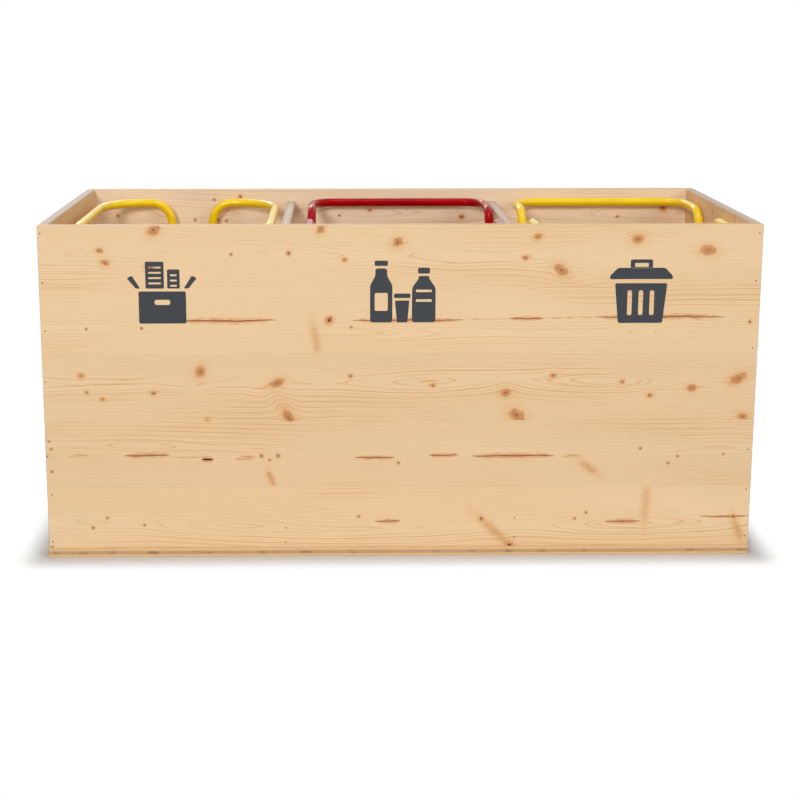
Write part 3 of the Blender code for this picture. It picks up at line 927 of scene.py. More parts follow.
class MeshShop:
    """A bmesh being worked on, and the way it becomes a piece that rides on a body."""

    rim_facets: int = 3
    rim_share: float = 0.01
    merge_within: float = 1e-6

    def __init__(self) -> None:
        """Start an empty bmesh."""
        self.work = bmesh.new()

    @staticmethod
    def edges_of(verts: Iterable[bmesh.types.BMVert]) -> list[bmesh.types.BMEdge]:
        """The edges at some corners, each once and in the same order on every run."""
        return list(dict.fromkeys(edge for vert in verts for edge in vert.link_edges))

    def _ease(self, verts: Iterable[bmesh.types.BMVert], edges: Iterable[bmesh.types.BMEdge], ease: float,
              segments: int, finish: int) -> None:
        """Round edges of a new solid, and give its faces their material.

        Args:
            verts: The solid's corners.
            edges: The edges to round.
            ease: The rounding, or 0 for none.
            segments: How many facets it has.
            finish: The material's place in the piece.
        """
        faces = {face for vert in verts for face in vert.link_faces}
        if ease:
            rounded = bmesh.ops.bevel(self.work, geom=list(edges), offset=ease, segments=segments,
                                      profile=0.5, affect="EDGES", material=-1)
            faces = {face for face in faces | set(rounded["faces"]) if face.is_valid}
        for face in faces:
            face.material_index = finish

    def box(self, low: Point, high: Point, ease: float, segments: int = 2, finish: int = 0) -> None:
        """Add a box with eased edges.

        Args:
            low: Its lowest corner.
            high: Its highest corner.
            ease: The edges' rounding.
            segments: How many facets the rounding has.
            finish: The material's place in the piece.
        """
        low, high = Vector(low), Vector(high)
        fit = Matrix.Translation((low + high) / 2) @ Matrix.Diagonal((*(high - low), 1.0))
        verts = bmesh.ops.create_cube(self.work, size=1.0, matrix=fit)["verts"]
        self._ease(verts, self.edges_of(verts), ease, segments, finish)

    def disc(self, centre: Point, axis: Point, radius: float, height: float, sides: int, ease: float,
             finish: int = 0) -> None:
        """Add a short cylinder, such as a bolt head, standing on a point.

        Args:
            centre: The middle of its foot.
            axis: The way it stands up.
            radius: Its radius.
            height: Its height.
            sides: How many sides it has.
            ease: The rounding of its top edge.
            finish: The material's place in the piece.
        """
        axis = Vector(axis).normalized()
        top = Vector(centre) + axis * height
        fit = stood(Vector(centre) + axis * height / 2, axis)
        verts = bmesh.ops.create_cone(self.work, cap_ends=True, segments=sides, radius1=radius,
                                      radius2=radius, depth=height, matrix=fit)["verts"]
        rim = [edge for edge in self.edges_of(verts)
               if all(abs((end.co - top).dot(axis)) < height * self.rim_share for end in edge.verts)]
        self._ease(verts, rim, ease, self.rim_facets, finish)

    def hex_bolt(self, centre: Point, axis: Point, across: float, finish: int = 0) -> None:
        """Add a hexagon head on its washer.

        Args:
            centre: The middle of the washer's foot.
            axis: The way it stands up.
            across: The head's width across its corners.
            finish: The material's place in the piece.
        """
        axis = Vector(axis).normalized()
        washer, washer_radius, washer_ease = across * 0.11, across * 0.80, across * 0.03
        head, head_ease = across * 0.36, across * 0.06
        self.disc(centre, axis, washer_radius, washer, 20, washer_ease, finish)
        self.disc(Vector(centre) + axis * washer, axis, across / 2, head, 6, head_ease, finish)

    def screw(self, centre: Point, axis: Point, radius: float, finish: int = 0) -> None:
        """Add a low pan-head screw with a dished top.

        Args:
            centre: The middle of its foot.
            axis: The way it stands up.
            radius: The head's radius.
            finish: The material's place in the piece.
        """
        axis = Vector(axis).normalized()
        start = set(self.work.faces)
        height, ease = radius * 0.34, radius * 0.16
        rim, dip = radius * 0.36, radius * 0.22
        self.disc(centre, axis, radius, height, 16, ease, finish)
        top = max(set(self.work.faces) - start, key=lambda face: face.calc_center_median().dot(axis))
        dish = bmesh.ops.inset_region(self.work, faces=[top], thickness=rim, use_even_offset=True)
        for face in dish["faces"]:
            face.material_index = finish
        bmesh.ops.translate(self.work, vec=-axis * dip, verts=top.verts)

    def piece(self, name: str, body: str, materials: Sequence[bpy.types.Material],
              replaces: Sequence[str] = (), sharp: float = 35.0) -> None:
        """Make the bmesh a piece that rides on a body.

        Args:
            name: The piece's name.
            body: The body it rides on.
            materials: Its materials, in the order of the faces' places.
            replaces: The CAD nodes it stands for.
            sharp: The angle in degrees from which an edge is drawn sharp.
        """
        bmesh.ops.remove_doubles(self.work, verts=self.work.verts, dist=self.merge_within)
        bmesh.ops.recalc_face_normals(self.work, faces=self.work.faces)
        mesh = bpy.data.meshes.new(name)
        self.work.to_mesh(mesh)
        self.work.free()
        for material in materials:
            mesh.materials.append(material)
        mesh.shade_smooth()
        mesh.set_sharp_from_angle(angle=math.radians(sharp))
        made = bpy.data.objects.new(name, mesh)
        bpy.context.scene.collection.objects.link(made)
        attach(made, body)
        if replaces:
            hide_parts(*replaces)
        LOG.info("%s rides on %s with %d faces", name, body, len(mesh.polygons))


@dataclass(frozen=True)
class TubeBench:
    """Bends round tube: straight runs are extruded from a ring, and bends are spun."""

    shop: MeshShop
    radius: float
    sides: int = 32
    steps: int = 16
    bead_sides: int = 8
    bead_steps: int = 32

    def _ring(self, sides: int, radius: float, fit: Matrix) -> list[bmesh.types.BMEdge]:
        """The edges of a new ring."""
        ring = bmesh.ops.create_circle(self.shop.work, cap_ends=False, segments=sides, radius=radius,
                                       matrix=fit)
        return self.shop.edges_of(ring["verts"])

    def bend(self, corners: Sequence[Vector], radii: Sequence[float]) -> None:
        """Lay a tube along corners that turn at right angles, and close its ends.

        Args:
            corners: The path's corners, ends included.
            radii: The bend radius at each inner corner.
        """
        ways = [(there - here).normalized() for here, there in zip(corners, corners[1:])]
        place = corners[0]
        edges = first = self._ring(self.sides, self.radius, stood(place, ways[0]))
        trims = [0.0, *radii, 0.0]
        for leg, way in enumerate(ways):
            length = (corners[leg + 1] - corners[leg]).length - trims[leg] - trims[leg + 1]
            edges = self._run(edges, way * length)
            place = place + way * length
            if leg + 1 < len(ways):
                ahead, turn = ways[leg + 1], radii[leg]
                spun = bmesh.ops.spin(self.shop.work, geom=edges, cent=place + ahead * turn,
                                      axis=way.cross(ahead), dvec=(0, 0, 0), angle=math.pi / 2,
                                      steps=self.steps, use_duplicate=False)
                edges = [part for part in spun["geom_last"] if isinstance(part, bmesh.types.BMEdge)]
                place = place + (way + ahead) * turn
        for end in (first, edges):
            bmesh.ops.holes_fill(self.shop.work, edges=end, sides=0)

    def _run(self, edges: Sequence[bmesh.types.BMEdge], offset: Vector) -> list[bmesh.types.BMEdge]:
        """Extrude a straight run.

        Args:
            edges: The ring it starts from.
            offset: How far and which way it runs.

        Returns:
            The ring it ends in.
        """
        grown = bmesh.ops.extrude_edge_only(self.shop.work, edges=edges)["geom"]
        verts = [part for part in grown if isinstance(part, bmesh.types.BMVert)]
        bmesh.ops.translate(self.shop.work, vec=offset, verts=verts)
        ends = set(verts)
        return [part for part in grown if isinstance(part, bmesh.types.BMEdge) and set(part.verts) <= ends]

    def weld(self, foot: Vector, bead: float) -> None:
        """Lay a weld bead round a tube's foot.

        Args:
            foot: The middle of the tube where it meets the plate.
            bead: The bead's radius.
        """
        start = foot + Vector((self.radius, 0.0, 0.0))
        fit = Matrix.Translation(start) @ Matrix.Rotation(math.pi / 2, 4, "X")
        bmesh.ops.spin(self.shop.work, geom=self._ring(self.bead_sides, bead, fit), cent=foot,
                       axis=(0, 0, 1), dvec=(0, 0, 0), angle=math.tau, steps=self.bead_steps,
                       use_merge=True, use_duplicate=False)


@dataclass(frozen=True)
class Casing:
    """The boards of the casing, its rear panel and their fixings.

    Nails and marks are in pixels as read, apart from the rear panel's unseen marks, which are in metres.
    """

    nodes: dict[str, bpy.types.Object]
    finishes: Finishes
    nail_radius: float = 0.0021
    nail_height: float = 0.0007
    nail_sink: float = 0.0004
    nail_ease: float = 0.0003
    nail_sides: int = 14
    hinge_leaf: float = 0.0018
    hinge_screw: float = 0.0034
    hinge_screw_sink: float = 0.0002
    catch_ease: float = 0.0016
    catch_screw: float = 0.0027
    catch_screw_sink: float = 0.0004
    catch_screw_shares: Span = (0.25, 0.70)
    magnet_inset: float = 0.003
    magnet_depth: float = 0.004
    magnet_proud: float = 0.0008
    magnet_ease: float = 0.0004
    nails: tuple[tuple[float, float], ...] = (
        (47.7, 230.7), (48.4, 280), (49.3, 328.5), (47.4, 380), (49.4, 497.5), (48.5, 547),
        (750, 232), (748.6, 279.6), (748.5, 347.5), (749.4, 452.6), (749.5, 494.5), (750.4, 544),
        (284, 533.3), (283.6, 548.6), (515.3, 523.5), (515.3, 544.2))
    front: Figure = Figure(
        (Knot(158, 228, 5, 1.3, 35), Knot(104.5, 248, 2.6, 1.4), Knot(110, 260, 3, 1.5, -10),
         Knot(154.5, 265, 3.5), Knot(320.7, 227, 3.5, 1.4, 60), Knot(343.8, 257.7, 2),
         Knot(395.7, 240.4, 4.5, 1.3, 30),
         Knot(329, 318, 2.65, 1.3, 30), Knot(200.7, 370, 5, 1.3, 70), Knot(82.5, 374, 2.9, 1.1, 0, 0.8),
         Knot(88, 391, 1.65), Knot(103.5, 398, 1.75), Knot(154, 392, 2.25), Knot(276.8, 381.7, 4.15, 2.0, 20),
         Knot(288, 418, 4.35, 2.6, -62), Knot(207, 420.7, 2.55, 1.2, 90, 0.6),
         Knot(315.2, 337.6, 2.9, 4.2, -80, 0.4), Knot(269.4, 480.8, 2.6, 3.0, -68, 0.6),
         Knot(532.6, 235, 3, 1.4, 20), Knot(521, 256, 2.4, 1.4), Knot(556.5, 268.5, 5, 1.5, -35),
         Knot(630.7, 237.7, 4.5, 1.4, 10), Knot(700, 249, 5, 1.6, -5), Knot(503.8, 392.7, 4, 1.3, 10),
         Knot(515.3, 416, 6, 1.4, -30), Knot(551, 375, 2.2, 1.4), Knot(620, 382, 2, 1.1),
         Knot(648, 396, 2.4, 1.2), Knot(690, 388.5, 3.6, 1.4), Knot(735.7, 379, 5, 1.8, 25),
         Knot(742, 418, 3.5, 1.6, -10),
         Knot(431.5, 385, 2), Knot(496, 539, 3.55, 5.6, -44, 0.5), Knot(742.6, 537, 3.4, 3.4, -70, 0.5),
         Knot(648, 509, 3.05, 5.0, 88, 0.3), Knot(589, 470.6, 3, 3.2, -35, 0.5)),
        (Pin(233, 252, 0.75), Pin(289, 251, 1.1), Pin(349.5, 375, 0.95), Pin(260.2, 457.3, 0.95),
         Pin(268.4, 461.4, 0.7), Pin(276.8, 457.3, 1.0), Pin(48.6, 441.4, 0.6), Pin(50.6, 449.5, 0.7),
         Pin(45.9, 457, 0.6), Pin(50.3, 473, 0.7), Pin(89.6, 326.4, 0.65), Pin(143.9, 325.7, 0.75),
         Pin(328.4, 318.3, 1.55), Pin(329.8, 316.2, 0.95), Pin(350.1, 325.4, 0.65), Pin(744.6, 321, 0.9),
         Pin(640.5, 450.9, 0.75), Pin(669.3, 466.5, 0.75), Pin(678.5, 459.4, 0.65), Pin(724.6, 457.3, 0.6),
         Pin(397.6, 465.1, 0.75), Pin(89.6, 532.3, 0.8), Pin(104.2, 521.8, 0.7), Pin(141.5, 529.6, 0.7),
         Pin(357.6, 521.5, 0.75), Pin(481.7, 524.5, 1.1), Pin(510.9, 553, 1.9), Pin(576.4, 524.8, 0.65),
         Pin(587.9, 518.4, 0.7), Pin(737.8, 523.5, 0.95), Pin(289.7, 419.7, 0.75), Pin(47.9, 552.3, 0.6)),
        (Streak(174, 278.5, 318.3, 1.5), Streak(347.7, 465.1, 318.4, 1.3), Streak(505, 541, 317, 1.15),
         Streak(588, 722, 315.6, 1.55), Streak(122, 170.3, 456.2, 1.4), Streak(200, 212.4, 460.7, 1.9, 1.6),
         Streak(352.5, 395.2, 459.4, 1.15), Streak(427.5, 458.3, 457.3, 1.2), Streak(468.5, 557, 458.2, 1.5),
         Streak(373.2, 401, 526.5, 1.2), Streak(606.2, 643.9, 527.9, 1.3), Streak(701.2, 754.8, 523.2, 0.75),
         Streak(65.2, 92.3, 456.7, 0.9, 0.0), Streak(165.3, 204.3, 458.7, 0.5, 0.0),
         Streak(233, 257.5, 459, 1.2, 0.0), Streak(558.7, 583.5, 458.7, 0.9, 0.0),
         Streak(460.4, 511.2, 317.1, 0.35, 0.0), Streak(535, 592.6, 316.4, 0.35, 0.0)))
    rear: Figure = Figure(
        (Knot(373, 204, 1.7, 1.5), Knot(463.5, 211, 2.05, 1.4, 20), Knot(662.3, 202.8, 2.6, 1.7, -10)),
        (Pin(220.5, 193.5, 0.75), Pin(246, 190.5, 0.95), Pin(125.5, 209.3, 0.85), Pin(177.5, 216.3, 0.7),
         Pin(201.3, 213.3, 0.75), Pin(223.5, 213.3, 0.85), Pin(232, 214.4, 0.7), Pin(343, 209.4, 0.65),
         Pin(376.5, 221, 0.9), Pin(617.5, 211, 0.75), Pin(463.5, 211, 0.95), Pin(662, 202.5, 1.05)))
    rear_unseen: Figure = Figure(
        (Knot(-0.82, 0.64, 0.0095, 1.4, 15), Knot(-0.31, 0.56, 0.0120, 1.5, -30), Knot(0.43, 0.69, 0.0084),
         Knot(0.76, 0.48, 0.0125, 1.6, 25), Knot(0.12, 0.35, 0.0100, 1.3, 40),
         Knot(-0.62, 0.29, 0.0110, 1.5, -15), Knot(0.56, 0.18, 0.0088, 1.4), Knot(-0.18, 0.13, 0.0075, 1.2)),
        (Pin(0.31, 0.61, 0.0024), Pin(-0.48, 0.73, 0.0026), Pin(0.89, 0.27, 0.0028),
         Pin(-0.91, 0.41, 0.0025)),
        (Streak(-0.78, -0.56, 0.513, 0.0036), Streak(0.18, 0.33, 0.308, 0.0034),
         Streak(0.62, 0.88, 0.724, 0.0036)))

    def build(self) -> None:
        """Dress the boards and the hardware, and add the fixings."""
        self._dress_boards()
        for name, node in self.nodes.items():
            if "hinge" in name or "strike" in name:
                dress(node, self.finishes.zinc)
        self._nail_front()
        self._screw_hinges()
        self._make_catches()

    def _dress_boards(self) -> None:
        """Give each board its own spruce."""
        grey = {"edge": tint(192, 174, 160), "end_grain": tint(188, 169, 155), "speck": tint(174, 154, 140),
                "glue": 0.12}
        # The rear panel's paler, cooler colours are partly the wood's own tone and partly painted light: they
        # brighten the inner rear wall that the lamps light less than the front.
        cool = {"pale": tint(250, 228, 199), "late": tint(230, 192, 152), "flame": tint(212, 160, 118)}
        foot = {"edge": tint(228, 185, 132), "end_grain": tint(202, 164, 122), "speck": tint(186, 146, 106),
                "scuff": 0.62}
        side = grey | {"pale": tint(238, 203, 160), "late": tint(217, 168, 115)}
        marked = {"front_panel": FRONT_FACE.figure(self.front),
                  "rear_panel": REAR_WALL.figure(self.rear, self.rear_unseen)}
        plans = (("base_board", Axis.Z, Axis.X, 11, 14, 20, foot),
                 ("front_panel", Axis.Y, Axis.X, 5, 0, 0, {}), ("rear_panel", Axis.Y, Axis.X, 23, 0, 0, cool),
                 ("left_side_panel", Axis.X, Axis.Z, 33, 11, 14, side),
                 ("right_side_panel", Axis.X, Axis.Z, 43, 11, 14, side),
                 ("left_divider", Axis.X, Axis.Z, 57, 8, 12, grey),
                 ("right_divider", Axis.X, Axis.Z, 61, 8, 12, grey))
        for name, normal, grain, seed, knots, pins, colours in plans:
            low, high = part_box(name)
            figure = marked.get(name) or MarkGrower().figure(seed, low, high, normal, grain, knots, pins)
            finish = SpruceFinish(f"spruce_{name}", normal, grain, seed, figure, **colours)
            dress(self.nodes[name], finish.material(self.finishes.groups, low, high))

    def _nail_front(self) -> None:
        """Drive the nails that hold the front panel to the side panels and the dividers."""
        shop = MeshShop()
        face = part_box("front_panel")[0].y
        for column, row in self.nails:
            x, z = FRONT_FACE.spot(column, row)
            shop.disc((x, face + self.nail_sink, z), (0, -1, 0), self.nail_radius, self.nail_height,
                      self.nail_sides, self.nail_ease)
        shop.piece("front_nail_heads", "casing", [self.finishes.nail])

    def _screw_hinges(self) -> None:
        """Screw down both leaves of every hinge."""
        leaves = (("base_leaf", "casing", (0.42,), (-0.36, 0.0, 0.36)),
                  ("panel_leaf", "rear_panel", (0.42, 0.80), (-0.36, 0.36)))
        for name in ("left", "centre", "right"):
            for leaf, body, rows, shares in leaves:
                low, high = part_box(f"{name}_hinge_{leaf}")
                face = low.y + self.hinge_leaf - self.hinge_screw_sink
                shop = MeshShop()
                for row in rows:
                    for share in shares:
                        x = (low.x + high.x) / 2 + share * (high.x - low.x)
                        shop.screw((x, face, low.z + row * (high.z - low.z)), (0, 1, 0), self.hinge_screw)
                shop.piece(f"{name}_hinge_{leaf}_screws", body, [self.finishes.zinc])

    def _make_catches(self) -> None:
        """Model the magnet catches: an eased body, its magnet and its two screws."""
        inset = self.magnet_inset
        for side in Side:
            node = f"{side.word}_magnet_catch"
            low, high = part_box(node)
            shop = MeshShop()
            shop.box(low, high - Vector((0.0, self.magnet_proud, 0.0)), self.catch_ease, 3)
            shop.box((low.x + inset, high.y - self.magnet_depth, low.z + inset),
                     (high.x - inset, high.y, high.z - inset), self.magnet_ease, 1, 1)
            inner = low.x if side is Side.RIGHT else high.x
            for share in self.catch_screw_shares:
                spot = (inner + side.value * self.catch_screw_sink, low.y + share * (high.y - low.y),
                        (low.z + high.z) / 2)
                shop.screw(spot, (-side.value, 0, 0), self.catch_screw, 1)
            materials = [self.finishes.plastic, self.finishes.zinc]
            shop.piece(node + "_body", "casing", materials, [node])


@dataclass(frozen=True)
class TubePlan:
    """A trolley's tube centre lines in its own frame, worked out from its CAD hoops and handle."""

    rail_z: float
    inner_x: float
    outer_x: float
    nose_y: float
    post_y: float
    leg_y: float
    bar_y: float


@dataclass(frozen=True)
class Trolley:
    """One bent-tube trolley: which way it faces, its paint, and the sizes of its tube, feet and nuts."""

    nodes: dict[str, bpy.types.Object]
    finishes: Finishes
    name: str
    facing: int
    paint: Slot
    tube: float = 0.028
    bend: float = 0.070
    corner: float = 0.150
    gap: float = 0.0003
    foot_plate: float = 0.004
    foot_margin: float = 0.010
    foot_length: float = 0.062
    foot_setback: float = 0.002
    foot_ease: float = 0.0012
    weld: float = 0.0022
    bolt: float = 0.0092
    bolt_from_end: float = 0.014
    nut: float = 0.0080
    nut_across: float = 0.0215
    nut_along: float = 0.0305
    castor_plate: float = 0.003
    slack: float = 0.001

    def build(self) -> None:
        """Model the tubes and the wheels, and dress the deck and the castors."""
        low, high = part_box(f"{self.name}_deck")
        ply = PlywoodFinish(f"{self.name}_plywood", high.z, high.z - low.z).material()
        dress(self.nodes[f"{self.name}_deck"], ply)
        plan = self._plan()
        for side in (-1, 1):
            self._hoop(side, plan)
        self._handle(plan)
        for side in Side:
            self._castors(side)

    def _world(self, x: float, y: float, z: float) -> Vector:
        """Turn a point of the trolley into the shared frame."""
        low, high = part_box(f"{self.name}_deck")
        return Vector(((low.x + high.x) / 2 + self.facing * x, self.facing * y, z))

    def _own_box(self, node: str) -> tuple[Vector, Vector]:
        """Turn a CAD node's box into the trolley's own frame.

        Args:
            node: The node.

        Returns:
            Its lowest and its highest corner.
        """
        turn = Matrix.Diagonal((self.facing, self.facing, 1.0))
        ends = [turn @ (corner - self._world(0.0, 0.0, 0.0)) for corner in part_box(node)]
        return Vector(map(min, *ends)), Vector(map(max, *ends))

    def _plan(self) -> TubePlan:
        """Work the tubes' centre lines out from the CAD.

        Returns:
            The plan.
        """
        radius, half = self.tube / 2, self.tube / 2 + self.foot_margin
        low, high = self._own_box(f"{self.name}_{Side(self.facing).word}_hoop")
        handle_low, handle_high = self._own_box(f"{self.name}_push_handle")
        leg = handle_low.y + half
        upright = handle_high.y - handle_low.y < 2 * half + self.slack
        return TubePlan(high.z - radius, low.x + half, high.x - radius, low.y + radius, high.y - half, leg,
                        leg if upright else handle_high.y - radius)

    def _tube(self, node: str, path: Sequence[tuple[float, float, float]], radii: Sequence[float],
              reaches: Sequence[tuple[float, float]]) -> None:
        """Bend one tube and stand its two ends on welded feet.

        Args:
            node: The CAD node that it stands for.
            path: The tube's upper corners in the trolley's own frame; both ends go straight down from it.
            radii: The bend radius at each of those corners.
            reaches: The way that each end's plate reaches.
        """
        shop = MeshShop()
        bench = TubeBench(shop, self.tube / 2)
        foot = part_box(f"{self.name}_deck")[1].z + self.gap
        ends = [(x, y, foot + self.foot_plate / 2) for x, y, _ in (path[0], path[-1])]
        bench.bend([self._world(*corner) for corner in (ends[0], *path, ends[1])], radii)
        for end, reach in zip(ends, reaches):
            self._foot(bench, Vector((end[0], end[1], 0.0)), Vector((*reach, 0.0)), foot)
        materials = [self.finishes.paint[self.paint], self.finishes.zinc]
        shop.piece(node + "_tube", self.name, materials, [node])

    def _foot(self, bench: TubeBench, tube: Vector, inward: Vector, foot: float) -> None:
        """Add a welded foot plate with its two bolts.

        Args:
            bench: The bench that lays the weld.
            tube: The tube's middle, in the trolley's own frame.
            inward: The way the plate reaches.
            foot: The height of the plate's underside.
        """
        across = Vector((abs(inward.y), abs(inward.x), 0.0))
        half = self.tube / 2 + self.foot_margin
        top = foot + self.foot_plate
        outer = tube - inward * (self.tube / 2 - self.foot_setback)
        ends = [outer - across * half, outer + inward * self.foot_length + across * half]
        ends = [self._world(end.x, end.y, height) for end, height in zip(ends, (foot, top))]
        bench.shop.box(Vector(map(min, *ends)), Vector(map(max, *ends)), self.foot_ease, 3)
        bench.weld(self._world(tube.x, tube.y, top), self.weld)
        for share in (-0.5, 0.5):
            bolt = outer + inward * (self.foot_length - self.bolt_from_end) + across * share * half
            bench.shop.hex_bolt(self._world(bolt.x, bolt.y, top), (0, 0, 1), self.bolt, 1)

    def _hoop(self, side: int, plan: TubePlan) -> None:
        """Bend one wrap-round hoop.

        Args:
            side: Which side of the trolley, in its own frame.
            plan: The tubes' centre lines.
        """
        inner, outer = side * plan.inner_x, side * plan.outer_x
        spots = ((inner, plan.nose_y), (outer, plan.nose_y), (outer, plan.post_y))
        path = [(*spot, plan.rail_z) for spot in spots]
        self._tube(f"{self.name}_{Side(side * self.facing).word}_hoop", path,
                   (self.bend, self.corner, self.bend), ((0.0, 1.0), (-side, 0.0)))

    def _handle(self, plan: TubePlan) -> None:
        """Bend the U push handle.

        Args:
            plan: The tubes' centre lines.
        """
        depths = [plan.leg_y] if plan.bar_y <= plan.leg_y else [plan.leg_y, plan.bar_y]
        path = [(-plan.outer_x, depth, plan.rail_z) for depth in depths]
        path += [(plan.outer_x, depth, plan.rail_z) for depth in reversed(depths)]
        self._tube(f"{self.name}_push_handle", path, [self.bend] * len(path), ((1.0, 0.0), (-1.0, 0.0)))

    def _castors(self, side: Side) -> None:
        """Dress a side's two castors, model their wheels and bolt their plates to the deck.

        Args:
            side: The side as seen from the front.
        """
        stem = f"{self.name}_{side.word}"
        for part in ("fixed_fork", "swivel_plate", "swivel_fork"):
            dress(self.nodes[f"{stem}_{part}"], self.finishes.zinc)
        for kind in ("fixed", "swivel"):
            CastorWheel(f"{stem}_{kind}_wheel").build(self.finishes)
        shop = MeshShop()
        for part in ("fixed_fork", "swivel_plate"):
            low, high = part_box(f"{stem}_{part}")
            middle, plate = (low + high) / 2, high.z - self.castor_plate
            for along in (-self.nut_along, self.nut_along):
                for across in (-self.nut_across, self.nut_across):
                    shop.hex_bolt((middle.x + across, middle.y + along, plate), (0, 0, -1), self.nut)
        shop.piece(f"{stem}_castor_nuts", self.name, [self.finishes.zinc])


@dataclass(frozen=True)
class CastorWheel:
    """A castor wheel: a crowned grey tyre on a ribbed hub."""

    node: str
    hub: float = 0.0130
    bore: float = 0.0054
    tyre: float = 0.0090
    recess: float = 0.0040
    ribs: int = 6
    rib_half: float = 0.0010
    rib_root: float = 0.0006
    rib_sink: float = 0.0005
    rib_drop: float = 0.0016
    rib_ease: float = 0.0004
    tyre_edge: float = 0.0002
    steps: int = 48
    sharp: float = 40.0

    def build(self, finishes: Finishes) -> None:
        """Turn the wheel about its axle.

        Args:
            finishes: The shared finishes.
        """
        low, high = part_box(self.node)
        middle = (low + high) / 2
        radius, half = (high.z - low.z) / 2, (high.x - low.x) / 2
        rim = radius - self.tyre
        side = ((radius, half * 0.30), (radius - 0.0007, half - 0.0052), (radius - 0.0022, half - 0.0022),
                (radius - 0.0048, half - 0.0004), (rim + 0.0008, half), (rim, half - 0.0012),
                (rim - 0.0014, half - 0.0008), (rim - 0.0026, half - self.recess),
                (self.hub + 0.0012, half - self.recess), (self.hub, half - 0.0010), (self.hub - 0.0012, half),
                (self.bore, half))
        loop = [(out, -along) for out, along in side] + [(out, along) for out, along in reversed(side)]
        shop = MeshShop()
        points = [shop.work.verts.new(middle + Vector((along, 0.0, out))) for out, along in loop]
        edges = [shop.work.edges.new(pair) for pair in zip(points, points[1:] + points[:1])]
        bmesh.ops.spin(shop.work, geom=edges, cent=middle, axis=(1, 0, 0), dvec=(0, 0, 0), angle=math.tau,
                       steps=self.steps, use_merge=True, use_duplicate=False)
        self._ribs(shop, middle, half, rim)
        for face in shop.work.faces:
            off = face.calc_center_median() - middle
            face.material_index = 0 if math.hypot(off.y, off.z) > rim - self.tyre_edge else 1
        shop.piece(self.node + "_tyre", self.node, [finishes.rubber, finishes.hub], [self.node],
                   self.sharp)

    def _ribs(self, shop: MeshShop, middle: Vector, half: float, rim: float) -> None:
        """Stand the hub's ribs in the recess on both sides.

        Args:
            shop: The shop to work in.
            middle: The wheel's middle.
            half: Half the wheel's width.
            rim: The hub's outer radius.
        """
        for side in (-1, 1):
            floor, crest = half - self.recess - self.rib_sink, half - self.rib_drop
            inner, outer = sorted((side * floor, side * crest))
            for step in range(self.ribs):
                start = set(shop.work.verts)
                shop.box(middle + Vector((inner, -self.rib_half, self.hub - self.rib_root)),
                         middle + Vector((outer, self.rib_half, rim - self.rib_drop)), self.rib_ease, 1)
                made = [vert for vert in shop.work.verts if vert not in start]
                bmesh.ops.rotate(shop.work, cent=middle, verts=made,
                                 matrix=Matrix.Rotation(math.tau * step / self.ribs, 3, "X"))


